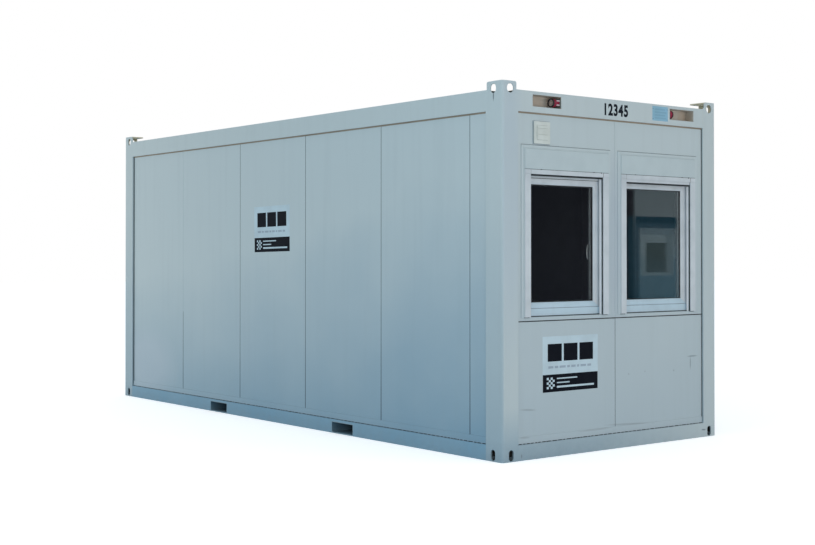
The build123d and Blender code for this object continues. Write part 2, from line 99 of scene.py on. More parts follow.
def solidBoxes(node, facade):
    # each separate solid of a CAD node as (lowest, highest) corner in the facade's axes, left to right
    bm = nodeShape(node)
    bm.transform(facadeMatrix(facade).inverted())
    waiting = set(bm.verts)
    boxes = []
    while waiting:
        edge = [waiting.pop()]
        found = list(edge)
        while edge:
            near = {e.other_vert(v) for v in edge for e in v.link_edges} & waiting
            waiting -= near
            edge = list(near)
            found += edge
        low = Vector(min(v.co[i] for v in found) for i in range(3))
        high = Vector(max(v.co[i] for v in found) for i in range(3))
        boxes.append((low, high))
    bm.free()
    return sorted(boxes, key=lambda box: (round(box[0].x, 3), round(box[0].z, 3)))


# Shapes

def edgesOf(verts):
    return {e for v in verts for e in v.link_edges}


def facesOf(verts):
    return {f for v in verts for f in v.link_faces}


def setFinish(faces, finish):
    for face in faces:
        face.material_index = finish


def liesAt(edge, axis, distance):
    # an edge at this distance from the middle, on either side
    return all(abs(abs(v.co[axis]) - distance) < 0.1 * mm for v in edge.verts)


def roundEdges(bm, edges, width, segments=2):
    bmesh.ops.bevel(
        bm, geom=list(edges), offset=width, offset_type="OFFSET", affect="EDGES",
        segments=segments, profile=0.5, material=-1, clamp_overlap=True,
    )


def addBlock(bm, low, high, finish=0, rounding=0, segments=2):
    # the rounding is in mm
    low, high = Vector(low), Vector(high)
    place = Matrix.Translation((low + high) / 2) @ Matrix.Diagonal((*(high - low), 1))
    verts = bmesh.ops.create_cube(bm, size=1, matrix=place)["verts"]
    setFinish(facesOf(verts), finish)
    if rounding:
        roundEdges(bm, edgesOf(verts), rounding * mm, segments)
    return verts


def addBar(bm, across, face, depth, upright, *look):
    # a block with its depth in mm behind a face
    return addBlock(bm, *zip(across, [face + d * mm for d in depth], upright), *look)


def addRod(bm, start, end, radius, finish=0, sides=24, endRadius=None):
    start, end = Vector(start), Vector(end)
    axis = end - start
    place = Matrix.Translation((start + end) / 2) @ axis.to_track_quat("Z", "Y").to_matrix().to_4x4()
    tip = radius if endRadius is None else endRadius
    verts = bmesh.ops.create_cone(
        bm, cap_ends=True, segments=sides, radius1=radius, radius2=tip, depth=axis.length, matrix=place
    )["verts"]
    setFinish(facesOf(verts), finish)
    return verts


def spread(start, end, count):
    # so many places with even gaps, and half a gap at each end
    return [start + (end - start) * (i + 0.5) / count for i in range(count)]


def addRivet(bm, spot, rise, radius):
    # a domed head standing on a face
    addRod(bm, spot, Vector(spot) + Vector(rise), radius, sides=10, endRadius=radius / 2)


def addRing(bm, outer, inner, face, outerPoints, innerPoints, finish=0, openBottom=False):
    # A mitred frame between two rectangles (left, right, bottom, top). Its section runs through points in mm,
    # (distance, depth behind the face): first those inwards from the outer edge, then those outwards from the inner.
    section = [(outer, 1, *point) for point in outerPoints] + [(inner, -1, *point) for point in innerPoints]
    corners = [(0, 3), (1, 3), (1, 2), (0, 2)]
    if openBottom:
        corners = corners[3:] + corners[:3]
    loops = []
    for across, upright in corners:
        verts = []
        for rect, sign, distance, depth in section:
            u = rect[across] + sign * distance * mm * (1 if across == 0 else -1)
            w = rect[upright] + sign * distance * mm * (1 if upright == 2 else -1)
            if openBottom and upright == 2:
                w = outer[2]
            verts.append(bm.verts.new((u, face + depth * mm, w)))
        loops.append([bm.edges.new(pair) for pair in zip(verts, verts[1:] + verts[:1])])
    faces = []
    for first, second in zip(loops, loops[1:] if openBottom else loops[1:] + loops[:1]):
        faces += bmesh.ops.bridge_loops(bm, edges=first + second)["faces"]
    for loop in (loops[0], loops[-1]) if openBottom else ():
        faces += bmesh.ops.contextual_create(bm, geom=loop)["faces"]
    setFinish(faces, finish)
    bmesh.ops.recalc_face_normals(bm, faces=faces)
    return faces


def addLevelRing(bm, outer, inner, face, depth, finish=0):
    # a flat square-edged ring, such as a seal or a spacer bar, so many mm deep
    addRing(bm, outer, inner, face, [(0, depth), (0, 0)], [(0, 0), (0, depth)], finish)


def addExtrusion(bm, origin, outline, start, end, along="u"):
    # a section's outline, in mm from its origin: (v, w) points run along u, (u, v) points run up w
    section = [(origin[0] + a * mm, origin[1] + b * mm) for a, b in outline]
    verts = [bm.verts.new((start, *point) if along == "u" else (*point, start)) for point in section]
    pushed = bmesh.ops.extrude_face_region(bm, geom=[bm.faces.new(verts)])["geom"]
    moved = [g for g in pushed if isinstance(g, bmesh.types.BMVert)]
    run = (end - start, 0, 0) if along == "u" else (0, 0, end - start)
    bmesh.ops.translate(bm, verts=moved, vec=run)
    faces = facesOf(verts + moved)
    bmesh.ops.recalc_face_normals(bm, faces=list(faces))
    return faces


def addTube(bm, start, end, v, w, outer, inner, finish=0):
    # a ring along u with rounded lips, spun from its section
    section = [(start, outer), (end, outer - 1 * mm), (end, inner + 1 * mm), (start, inner)]
    verts = [bm.verts.new((u, v, w + radius)) for u, radius in section]
    edges = [bm.edges.new(pair) for pair in zip(verts, verts[1:] + verts[:1])]
    before = set(bm.faces)
    bmesh.ops.spin(bm, geom=verts + edges, cent=(0, v, w), axis=(1, 0, 0), angle=2 * math.pi, steps=40,
                   use_merge=True, use_duplicate=False)
    faces = [f for f in bm.faces if f not in before]
    setFinish(faces, finish)
    bmesh.ops.recalc_face_normals(bm, faces=faces)


def rectOf(box):
    low, high = box
    return (low.x, high.x, low.z, high.z)


def depthOf(box):
    # in mm
    return (box[1].y - box[0].y) / mm


def grown(rect, by):
    return (rect[0] - by, rect[1] + by, rect[2] - by, rect[3] + by)


def newObject(name, data):
    made = bpy.data.objects.new(name, data)
    bpy.context.scene.collection.objects.link(made)
    return made


def newMesh(name, bm, materials):
    mesh = bpy.data.meshes.new(name)
    bm.to_mesh(mesh)
    bm.free()
    for material in materials:
        mesh.materials.append(material)
    return mesh


def makePiece(name, bm, materials, replaces=(), facade=None):
    if facade:
        bm.transform(facadeMatrix(facade))
    mesh = newMesh(name, bm, [finishes[material] for material in materials])
    mesh.shade_smooth()
    mesh.set_sharp_from_angle(angle=math.radians(34))   # steeper folds show as edges
    piece = newObject(name, mesh)
    piece.modifiers.new("evenShading", "WEIGHTED_NORMAL").keep_sharp = True
    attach(piece, "root")
    if replaces:
        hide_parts(*replaces)


def refine(node, suffix, materials, width, keepSharp=None, isInner=None, setBack=0):
    # A CAD node's shape with the rolled edges of the real steel, and its inner faces in their own finish.
    bm = nodeShape(node)
    outermost = [v for v in bm.verts if v.co.x > halfLength - setBack]
    bmesh.ops.translate(bm, verts=outermost, vec=(-setBack, 0, 0))
    bmesh.ops.dissolve_limit(bm, angle_limit=math.radians(1), verts=bm.verts, edges=bm.edges)
    if isInner:
        setFinish([f for f in bm.faces if isInner(f.calc_center_median(), f.normal)], 1)
    sharp = [e for e in bm.edges if e.is_manifold and e.is_convex and e.calc_face_angle() > math.radians(50)]
    roundEdges(bm, [e for e in sharp if not (keepSharp and keepSharp(e))], width)
    bmesh.ops.dissolve_degenerate(bm, dist=weldDistance / 2, edges=bm.edges)
    makePiece(f"{node}_{suffix}", bm, materials, replaces=[node])


# Materials

def hexColour(code):
    channels = [int(code[i:i + 2], 16) / 255 for i in (1, 3, 5)]
    return tuple(c / 12.92 if c <= 0.04045 else ((c + 0.055) / 1.055) ** 2.4 for c in channels) + (1,)


def addNode(tree, kind, settings):
    # each setting is the node's own, a colour or value for a socket, or the node or socket to link to it
    node = tree.nodes.new("ShaderNode" + kind)
    for key, value in settings.items():
        if isinstance(value, bpy.types.Node):
            value = next(socket for socket in value.outputs if socket.enabled)
        if isinstance(value, bpy.types.NodeSocket):
            tree.links.new(value, node.inputs[key])
        elif isinstance(key, str) and hasattr(node, key):
            setattr(node, key, value)
        else:
            node.inputs[key].default_value = hexColour(value) if isinstance(value, str) else value
    return node


def emptyTree(owner):
    # a function that adds nodes to the emptied tree of a material or world
    owner.use_nodes = True
    owner.node_tree.nodes.clear()
    return functools.partial(addNode, owner.node_tree)


def newMaterial(name):
    material = bpy.data.materials.new(name)
    add = emptyTree(material)
    return material, add, add("TexCoord", {}).outputs["Object"]


def perMetre(millimetres):
    return 1000 / millimetres


def relief(add, place, size, detail, strength, depth, **under):
    # fine unevenness of a surface: noise of this size and depth in mm
    noise = add("TexNoise", {"Scale": perMetre(size), "Detail": detail, "Vector": place})
    return add("Bump", {"Strength": strength, "Distance": depth * mm, "Height": noise, **under})


steelPaint = {
    # top and foot colours: the paint runs darker and bluer towards the foot, which is painted shade
    "top": "#B3C2C6", "foot": "#92A9B5", "dirt": "#8E9A9B", "roughness": 0.42, "grainSize": 2.5, "grain": 0.10,
    "chips": 0.5, "lean": 0.0, "endShine": 0.0,
}
steelPaintLook = {
    # where each coat differs from that
    "framePaint": {"endShine": 0.9},
    # inside the fork pockets: a dark blue-grey, painted shade
    "pocketPaint": {"top": "#4C6F85", "foot": "#426478", "dirt": "#2B3338", "roughness": 0.60, "grain": 0.15,
                    "chips": 0.6},
    # floor rails of the long sides: a darker, bluer foot, painted shade
    "railPaint": {"foot": "#6D9AB4", "dirt": "#7D8E96"},
    "panelPaint": {"top": "#B1C1C6", "foot": "#A3B5BE", "dirt": "#93A0A2", "roughness": 0.38, "grainSize": 4.0,
                   "grain": 0.05, "chips": 0.0},
    # long sides: a much darker, bluer foot, painted shade, and paler towards the far end, painted light
    "longPanelPaint": {"top": "#B1C1C6", "foot": "#6A92AA", "dirt": "#8697A0", "roughness": 0.38, "grainSize": 4.0,
                       "grain": 0.05, "chips": 0.0, "lean": 0.34},
    "doorPaint": {"top": "#B2C1C5", "foot": "#A6B6BD", "roughness": 0.40, "grainSize": 3.0, "grain": 0.07,
                  "chips": 0.25},
}

marks = {
    # scuffs and stains, the painted shade of dents, and patches of painted light: middle, half size in metres, tilt
    # in degrees, colour, strength
    "panelPaint": [
        # three dark spots: painted shade of small dents
        ((halfLength, 0.157, 0.574), (0.5, 0.010, 0.009), 0, "#84919A", 0.6),
        ((halfLength, 0.349, 0.585), (0.5, 0.010, 0.009), 0, "#8B98A1", 0.5),
        ((halfLength, 0.700, 0.574), (0.5, 0.011, 0.010), 0, "#84919A", 0.6),
        ((halfLength, 0.935, 0.681), (0.5, 0.075, 0.008), 0, "#6F7D86", 0.7),
        ((halfLength, 0.910, 0.625), (0.5, 0.009, 0.066), 0, "#76848D", 0.7),
        ((halfLength, -0.943, 0.368), (0.5, 0.095, 0.010), -4.5, "#87939B", 0.6),
        ((halfLength, -0.978, 0.165), (0.5, 0.065, 0.009), -2, "#8A969E", 0.5),
        ((halfLength, 0.143, 0.179), (0.5, 0.300, 0.009), -2.4, "#8A969E", 0.6),
        ((halfLength, -0.230, 0.165), (0.5, 0.230, 0.009), 0.4, "#8C989F", 0.5),
        # a slightly darker, bluer band between the two windows
        ((halfLength, -0.014, 1.60), (0.5, 0.10, 0.80), 0, "#A5B5BF", 0.9),
    ],
    "longPanelPaint": [
        # a paler patch low on the far part of the long side: painted light
        ((-2.55, -halfWidth, 0.38), (0.75, 0.5, 0.42), 0, "#ABBAC5", 0.6),
    ],
    "framePaint": [
        ((halfLength, -1.026, 0.034), (0.5, 0.008, 0.020), 0, "#66737B", 0.7),
        ((halfLength, 1.059, 0.061), (0.5, 0.034, 0.008), -4, "#5F6C76", 0.8),
        ((halfLength - 0.096, -halfWidth, 2.693), (0.007, 0.05, 0.050), 0, "#39434A", 0.8),
        ((halfLength - 0.090, -halfWidth, 2.727), (0.020, 0.05, 0.010), 0, "#4A5258", 0.7),
        # a paler band down the near corner post's end face: painted light
        ((halfLength, -1.14, 1.95), (0.012, 0.16, 1.35), 0, "#AABBC4", 0.9),
    ],
}


def paintedSteel(name):
    # Light blue-grey enamel on steel: a satin sheen, faintly uneven, with thin rain streaks. It is painted
    # lighter at the top and darker, bluer towards the foot and in a mottled band at the very foot: painted shade.
    look = steelPaint | steelPaintLook[name]
    material, add, place = newMaterial(name)
    x, y, z = add("SeparateXYZ", {0: place}).outputs
    height = add("MapRange", {0: z, 1: 0.0, 2: roofHeight})
    cloud = add("TexNoise", {"Scale": perMetre(900), "Detail": 3, "Vector": place})
    drift = add("Math", {"operation": "MULTIPLY_ADD", 0: cloud, 1: 0.35, 2: height})
    # a long side is painted paler towards the far end: painted light
    sunny = add("MapRange", {0: x, 1: halfLength, 2: -halfLength, 4: look["lean"]})
    bleached = add("Math", {"operation": "ADD", 0: drift, 1: sunny})
    fade = add("MapRange", {0: bleached, 1: 0.10, 2: 0.95})
    # the lowest hand's breadth, darker and bluer and broken up by noise: painted shade
    splash = add("MapRange", {0: z, 1: 0.16, 2: 0.0, 4: 0.9})
    if look["endShine"]:
        # the end faces are painted light: above 0.1 to 0.4 m, and all the way down towards +Y, they keep the pale top
        # colour and lose the lowest band's painted shade
        onEnd = add("MapRange", {0: x, 1: halfLength - 4 * mm, 2: halfLength - 2 * mm, 4: look["endShine"]})
        high = add("MapRange", {0: z, 1: 0.10, 2: 0.40})
        right = add("MapRange", {0: y, 1: -0.6, 2: halfWidth})
        either = add("Math", {"operation": "MAXIMUM", 0: high, 1: right})
        kept = add("Math", {"operation": "MULTIPLY", 0: onEnd, 1: either})
        fade = add("Math", {"operation": "MAXIMUM", 0: fade, 1: kept})
        clean = add("Math", {"operation": "SUBTRACT", 0: 1.0, 1: kept})
        splash = add("Math", {"operation": "MULTIPLY", 0: splash, 1: clean})
    spots = add("TexNoise", {"Scale": perMetre(60), "Detail": 6, "Vector": place})
    film = add("Math", {"operation": "MULTIPLY", 0: splash, 1: spots})
    # rain streaks: noise pulled out to a metre long and a finger wide
    pulled = add("Mapping", {"Scale": (perMetre(70), perMetre(70), perMetre(1500)), "Vector": place})
    runs = add("TexNoise", {"Scale": 1.0, "Detail": 4, "Vector": pulled})
    streak = add("MapRange", {0: runs, 1: 0.50, 2: 0.85, 4: 0.12})
    layers = [(streak, look["dirt"]), (film, "#788F9C")]
    if look["chips"]:
        # small rust freckles where stones and chains have chipped the paint
        flecks = add("TexVoronoi", {"Scale": perMetre(110), "Vector": place})
        dots = add("MapRange", {0: flecks, 1: 0.045, 2: 0.02})
        patch = add("TexNoise", {"Scale": perMetre(350), "Detail": 2, "Vector": place})
        where = add("MapRange", {0: patch, 1: 0.60, 2: 0.68, 4: look["chips"]})
        layers.append((add("Math", {"operation": "MULTIPLY", 0: dots, 1: where}), "#8A6A50"))
    for middle, size, tilt, stain, strength in marks.get(name, []):
        local = add("Mapping", {"vector_type": "TEXTURE", "Location": middle, "Scale": size, "Vector": place,
                                "Rotation": (math.radians(tilt), 0, 0)})
        reach = add("VectorMath", {"operation": "LENGTH", 0: local})
        layers.append((add("MapRange", {0: reach, 1: 1.0, 2: 0.45, 4: strength}), stain))
    colour = add("Mix", {"data_type": "RGBA", 0: fade, 6: look["foot"], 7: look["top"]})
    for amount, tint in layers:
        colour = add("Mix", {"data_type": "RGBA", 0: amount, 6: colour, 7: tint})
    flat = relief(add, place, 600, 1, 0.35, 3)
    skin = relief(add, place, look["grainSize"], 2, look["grain"], 0.2, Normal=flat)
    paint = add("BsdfPrincipled", {"Roughness": look["roughness"], "Base Color": colour, "Normal": skin})
    add("OutputMaterial", {"Surface": paint})
    return material


plasticLook = {
    # name: colour, soiled colour, roughness, grain size in mm, grain strength
    "windowPlastic": ("#C0CBD2", "#ABB7BE", 0.32, 1.5, 0.03),
    # a dark grey for the sashes' room side and the far window's handle: painted shade
    "roomPlastic": ("#6F767B", "#5F666B", 0.40, 1.5, 0.03),
    # a paler white for the guides' lips and the near window's handle: painted light
    "shelteredPlastic": ("#E6EDF2", "#D8E0E6", 0.32, 1.5, 0.03),
    "rainedPlastic": ("#B2CBD9", "#A2B9C6", 0.34, 1.5, 0.03),
    "ventPlastic": ("#C5CFCC", "#AEB7B2", 0.48, 1.2, 0.10),
    "ventGrime": ("#A3AFAE", "#929D9B", 0.60, 1.2, 0.12),
    "boxCover": ("#B0C1C6", "#A8B9BF", 0.42, 3.0, 0.06),
    "redPlastic": ("#960F3A", "#5C0A22", 0.30, 1.0, 0.05),
    "lidPlastic": ("#C9B4BC", "#A5929A", 0.34, 1.0, 0.05),
    "blackPlastic": ("#1B1B1E", "#2B2A29", 0.45, 1.0, 0.08),
    "paleInsert": ("#B9AFAE", "#8F8680", 0.50, 1.0, 0.06),
    "flangeGrey": ("#6F7C78", "#58625F", 0.50, 1.0, 0.08),
    "sealRubber": ("#1D2022", "#34383A", 0.70, 0.8, 0.20),
    "jointSeal": ("#414B51", "#2C3438", 0.65, 0.8, 0.20),
    "jointFilling": ("#26323B", "#1A242C", 0.60, 0.8, 0.20),
    "paleSeal": ("#9CABB5", "#8C9AA3", 0.60, 1.0, 0.10),
    # near black, inside the hollow castings: painted shade
    "packedDirt": ("#2A2A2A", "#1E1D1B", 0.90, 3.0, 0.60),
    "trimSealant": ("#66747B", "#556268", 0.60, 1.5, 0.15),
    "labelVinyl": ("#B4CBD6", "#A6BAC4", 0.40, 1.5, 0.03),
    "darkVinyl": ("#0B0E17", "#13161E", 0.50, 1.5, 0.03),
    "stencilBlack": ("#141A22", "#20262E", 0.60, 1.5, 0.04),
    "dullMark": ("#93A5B4", "#8799A6", 0.45, 1.5, 0.03),
    "plateBlue": ("#82B0C9", "#76A2B2", 0.44, 1.5, 0.03),
    "plateField": ("#77A4BD", "#6D98AB", 0.46, 1.5, 0.03),
    # liningBoard and ceilingBoard are mid greys, darker than white board: painted shade of the dim room
    "liningBoard": ("#565A5E", "#4B4E52", 0.55, 2.0, 0.05),
    "floorVinyl": ("#34373B", "#2A2D30", 0.50, 1.5, 0.06),
    "ceilingBoard": ("#70747A", "#64686C", 0.60, 2.0, 0.05),
    "primer": ("#CFC8AE", "#B3A98A", 0.62, 2.0, 0.12),
    "recessPaint": ("#B2B0A8", "#A48A6C", 0.55, 2.0, 0.10),
    "oldSealant": ("#8D8272", "#786E60", 0.66, 2.0, 0.20),
}

matteFilms = ("darkVinyl", "stencilBlack", "packedDirt", "jointFilling")
matteSheen = 0.08   # their print hardly mirrors the sky


def moulded(name):
    # Plastics, rubber, films and coated boards: one even body colour with a thin film of grime that
    # gathers in cloudy patches, and the fine grain of the mould or roller.
    clean, soiled, roughness, grainSize, grain = plasticLook[name]
    material, add, place = newMaterial(name)
    cloud = add("TexNoise", {"Scale": perMetre(140), "Detail": 5, "Vector": place})
    amount = add("MapRange", {0: cloud, 1: 0.42, 2: 0.78, 4: 0.75})
    body = add("Mix", {"data_type": "RGBA", 0: amount, 6: clean, 7: soiled})
    plastic = add("BsdfPrincipled", {
        "Roughness": roughness, "Specular IOR Level": matteSheen if name in matteFilms else 0.5,
        "Base Color": body, "Normal": relief(add, place, grainSize, 2, grain, 0.2),
    })
    add("OutputMaterial", {"Surface": plastic})
    return material


metalLook = {
    # name: colour, patch colour, roughness, patch size in mm
    "galvanised": ("#CAD0D3", "#B2BABE", 0.48, 18),   # hot-dip zinc: dull, with grey spangles
    "anodised": ("#B4B7B9", "#A9ACAF", 0.34, 6),      # clear anodised aluminium: even, soft gloss
    "zincScrew": ("#A7A7A2", "#7F7D76", 0.36, 3),     # bright zinc plating, going dull
    "brassPin": ("#B89A55", "#8D7440", 0.30, 2),      # turned brass contacts
}


def bareMetal(name):
    colour, patch, roughness, size = metalLook[name]
    material, add, place = newMaterial(name)
    cells = add("TexVoronoi", {"Scale": perMetre(size), "Vector": place})
    shade = add("Mix", {"data_type": "RGBA", 0: cells, 6: colour, 7: patch})
    metal = add("BsdfPrincipled", {
        "Metallic": 1.0, "Roughness": roughness, "Base Color": shade, "Normal": relief(add, place, 1.5, 2, 0.08, 0.2),
    })
    add("OutputMaterial", {"Surface": metal})
    return material


def particleBoard():
    # Sealed chipboard under the vinyl: pale and dark flakes a few millimetres long, pressed flat.
    material, add, place = newMaterial("particleBoard")
    flakes = add("TexVoronoi", {"Scale": perMetre(7), "Vector": place})
    tone = add("SeparateXYZ", {0: flakes.outputs["Color"]})
    shade = add("Mix", {"data_type": "RGBA", 0: tone, 6: "#9A8260", 7: "#6E5A40"})
    bump = add("Bump", {"Strength": 0.2, "Distance": 0.3 * mm, "Height": flakes})
    add("OutputMaterial", {
        "Surface": add("BsdfPrincipled", {"Roughness": 0.72, "Base Color": shade, "Normal": bump})
    })
    return material


def clearGlass():
    # Float glass, clear with a faint green body: it mirrors what stands outside and shows the room.
    # Light from the lamps passes straight through, as it does through a real pane.
    material, add, place = newMaterial("floatGlass")
    glass = add("BsdfPrincipled", {
        "Base Color": "#EEF2F3", "Roughness": 0.0, "IOR": 1.52, "Transmission Weight": 1.0,
        "Normal": relief(add, place, 500, 1, 0.05, 1),
    })
    lamplight = add("LightPath", {}).outputs["Is Shadow Ray"]
    passed = add("BsdfTransparent", {"Color": "#FAFCFC"})
    add("OutputMaterial", {"Surface": add("MixShader", {0: lamplight, 1: glass, 2: passed})})
    return material


finishes = {name: paintedSteel(name) for name in steelPaintLook}
finishes |= {name: moulded(name) for name in plasticLook}
finishes |= {name: bareMetal(name) for name in metalLook}
finishes |= {"floatGlass": clearGlass(), "particleBoard": particleBoard()}
print("materials ready")


# Steel frame

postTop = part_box("post_front_window_end")[1].z
railTop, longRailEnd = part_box("floor_rail_front")[1].z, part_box("floor_rail_front")[1].x
roofRailFoot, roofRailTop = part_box("roof_rail_front")[0].z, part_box("roof_rail_front")[1].z
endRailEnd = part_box("floor_rails_end")[1].y

steel = inMetres(
    castingEdge=2.5,
    postEdge=2,
    railEdge=4,
    pocketEdge=1.2,
    mudInset=32,
    insideDepth=6,      # deeper than this behind the faces, a casting shows its primer
    faceSetBack=0.6,    # room for the number and the plate on the end rail
)


def meetsNeighbour(edge):
    # welded and ground flush with the next member, so no rounded edge there
    joins = ((2, railTop), (2, postTop), (0, longRailEnd), (1, endRailEnd))
    return any(liesAt(edge, axis, distance) for axis, distance in joins)


def isPrimed(centre, normal):
    # a casting's inner faces, above the floor frame
    inside = min(halfLength - abs(centre.x), halfWidth - abs(centre.y))
    facesIn = normal.x * centre.x < -0.5 or normal.y * centre.y < -0.5 or normal.z < -0.5
    return inside > steel["insideDepth"] and facesIn and centre.z > railTop


def isInRecess(centre, normal):
    # behind the rail's face, and clear of its foot and top
    isBehind = 8 * mm < halfLength - centre.x < 100 * mm
    return isBehind and roofRailFoot + 40 * mm < centre.z < roofRailTop - 20 * mm


def isInPocket(centre, normal):
    # everything but a fork pocket's mouth
    return halfWidth - abs(centre.y) > 2 * mm


def buildFrame():
    for node in ("bottom_castings", "top_castings"):
        refine(node, "steel", ["framePaint", "primer"], steel["castingEdge"], meetsNeighbour, isPrimed)
    for node in [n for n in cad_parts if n.startswith("post_")]:
        refine(node, "steel", ["framePaint"], steel["postEdge"], meetsNeighbour)
    for node in [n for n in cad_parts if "_rail" in n and n != "roof_rail_window_end"]:
        coat = "railPaint" if node.startswith("floor_rail_") else "framePaint"
        refine(node, "steel", [coat], steel["railEdge"], meetsNeighbour)
    refine("roof_rail_window_end", "steel", ["framePaint", "recessPaint"], steel["railEdge"] / 2,
           meetsNeighbour, isInRecess, setBack=steel["faceSetBack"])
    refine("fork_pockets", "steel", ["framePaint", "pocketPaint"], steel["pocketEdge"],
           meetsNeighbour, isInPocket)
    # near-black blocks in the hollow bottom castings: painted shade of their insides
    bm = bmesh.new()
    inset = Vector((steel["mudInset"],) * 3)
    for low, high in solidBoxes("bottom_castings", "front"):
        addBlock(bm, low + inset, high - inset, 0, 8, 3)
    makePiece("casting_mud", bm, ["packedDirt"], facade="front")
    print("steel frame: castings, posts and rails")


buildFrame()


# Wall panels

panel = inMetres(
    edgeRound=2,        # folded long edges of the outer sheet
    foldZone=20,        # no deeper than this behind the outside
    wallZone=100,
    joint=2,            # gap between two panels
    tongueDepth=7,      # the joint's tongue behind the outer face
    jointFilm=4.5,      # dark filling of a joint between long-side panels, as wide as it shows
    jointFoot=8,        # wider towards the foot, where dirt has settled
    gasketWide=11,      # black lip seal between long walls and posts
    gasketNarrow=5,     # and on the ends
    gasketProud=4,
    splitSeal=7,        # black seal where the end wall is split over the parapet
    footSealHeight=6,
    crumb=16,           # longest crumb of old sealant on the strip at the foot
    lastPanel=1400,     # a joint nearer the corner than this is the last one
    parapetTop=1200,    # the joint under the windows ends below this
) | {"jointTurn": 0.95}   # height where a joint's film starts to widen

facadeNodes = {side: [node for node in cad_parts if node.startswith(side + "_wall_panel")] for side in longSides}
facadeNodes |= {"windowEnd": ["window_wall_panels", "parapet_panels"], "doorEnd": ["door_wall_panels"]}
wallOuter = {facade: solidBoxes(nodes[0], facade)[0][0].y for facade, nodes in facadeNodes.items()}


def wallPaint(facade):
    return "longPanelPaint" if facade in longSides else "panelPaint"


def isLining(centre, normal):
    # the room side of each panel is a coated board; a wall reaches no deeper than wallZone
    return any(
        half - abs(centre[axis]) < panel["wallZone"] and -normal[axis] * math.copysign(1, centre[axis]) > 0.5
        for axis, half in enumerate((halfLength, halfWidth))
    )


def isHiddenEdge(edge):
    # only the outer sheet's edges are folded: the ones inside and at the lining stay sharp
    deepest = max(min(halfLength - abs(v.co.x), halfWidth - abs(v.co.y)) for v in edge.verts)
    return deepest > panel["foldZone"]


def addJointFilm(bm, middle, outer, foot, top, painted):
    half, turn = panel["jointFilm"] / 2, panel["jointTurn"]
    across, depth = (middle - half, middle + half), (-0.2, 2)
    if not painted:
        addBar(bm, across, outer, depth, (turn, top), 1)
    for v in addBar(bm, across, outer, depth, (foot, turn), 1):
        if v.co.z < turn - 1 * mm:
            v.co.x = middle + (v.co.x - middle) * panel["jointFoot"] / panel["jointFilm"]


def addWallSeals(facade):
    width, outer, isLong = facadeWidth(facade), wallOuter[facade], facade in longSides
    postEdge = halfLength - longRailEnd if isLong else halfWidth - endRailEnd
    between = (postEdge, width - postEdge)
    # tongues in the open joints
    boxes = [box for node in facadeNodes[facade] for box in solidBoxes(node, facade)]
    if isLong:
        boxes += [box for box in solidBoxes("wall_fillers", facade) if box[0].y < halfWidth]
    bm = bmesh.new()
    for (low, high), (otherLow, otherHigh) in itertools.product(boxes, boxes):
        foot, top = max(low.z, otherLow.z), min(high.z, otherHigh.z)
        if foot >= top or abs(otherLow.x - high.x - panel["joint"]) > 0.5 * mm:
            continue
        addBar(bm, (high.x, otherLow.x), outer + panel["tongueDepth"], (0, 30), (foot, top))
        if isLong and top - foot > 1:
            # the last joint before the door end still has its paint over the upper half
            atCorner = min(high.x, width - high.x) < panel["lastPanel"]
            painted = atCorner and (high.x < width / 2) == (facade == "front")
            addJointFilm(bm, high.x + panel["joint"] / 2, outer, foot, top, painted)
        elif facade == "windowEnd" and top < panel["parapetTop"]:
            addBar(bm, (high.x - 0.7 * mm, otherLow.x + 0.7 * mm), outer, (-0.2, 2), (foot, top), 1)
    makePiece("joint_seals_" + facade, bm, ["jointSeal", "jointFilling"], facade=facade)
    # black lip seals against both posts, and a black strip at the panels' feet, painted shade of the gap under the
    # flashing
    bm = bmesh.new()
    gasket = panel["gasketWide" if isLong else "gasketNarrow"]
    for start in (postEdge, width - postEdge - gasket):
        addBlock(bm, (start, outer - panel["gasketProud"], railTop), (start + gasket, outer, roofRailFoot), 0, 1.5)
    strip = (railTop, railTop + panel["footSealHeight"])
    addBar(bm, between, outer, (-3, 0), strip)
    # crumbs of old sealant left on the strip
    u = postEdge
    while u < width - postEdge - panel["crumb"]:
        length = panel["crumb"] * random.uniform(0.4, 1.0)
        addBar(bm, (u, u + length), outer, (-3.6, -2.9), strip, 1)
        u += length + panel["crumb"] * random.uniform(1.0, 3.5)
    if facade == "windowEnd":
        split = solidBoxes("parapet_panels", facade)[0][1].z + 4 * mm
        half = panel["splitSeal"] / 2
        addBar(bm, between, outer, (-1.5, 0), (split - half, split + half), 0, 0.6)
    makePiece("post_seals_" + facade, bm, ["sealRubber", "paleSeal"], facade=facade)
    # a bead of old sealant under the roof rail's lip
    bm = bmesh.new()
    addExtrusion(bm, (outer, roofRailFoot), [(0, 0), (-6, 0), (-4, -6), (-1, -10.8), (0, -12)], *between)
    makePiece("sealant_bead_" + facade, bm, ["oldSealant"], facade=facade)


def buildPanels():
    for facade, nodes in (*facadeNodes.items(), ("rear", ["wall_fillers"])):
        for node in nodes:
            refine(node, "sheet", [wallPaint(facade), "liningBoard"], panel["edgeRound"],
                   isHiddenEdge, isLining)
    for facade in facades:
        addWallSeals(facade)
    print("wall panels, seals and sealant")


buildPanels()


# Base flashings

flashing = inMetres(rivetEvery=420, rivetRadius=3.2)


def buildFlashings():
    for facade in facades:
        bm = bmesh.new()
        for low, high in solidBoxes("base_flashings", facade):
            if low.y > 20 * mm or high.y - low.y > 10 * mm:
                continue   # a strip of another facade, seen end on
            # folded back at its top edge and kicked out at its foot
            foot, back = low.z + 2 * mm, depthOf((low, high))
            top = (high.z - foot) / mm
            outline = [(back, top), (1.2, top), (0, top - 1.2), (0, 7), (-3, 0), (-1.5, 0), (back, 7)]
            addExtrusion(bm, (low.y, foot), outline, low.x, high.x)
            middle = (foot + high.z) / 2 + 4 * mm
            for u in spread(low.x, high.x, round((high.x - low.x) / flashing["rivetEvery"])):
                addRivet(bm, (u, low.y, middle), (0, -1.4 * mm, 0), flashing["rivetRadius"])
        makePiece("flashing_" + facade, bm, [wallPaint(facade)],
                  ["base_flashings"] if facade == "front" else [], facade)
    print("base flashings")


buildFlashings()


# Windows

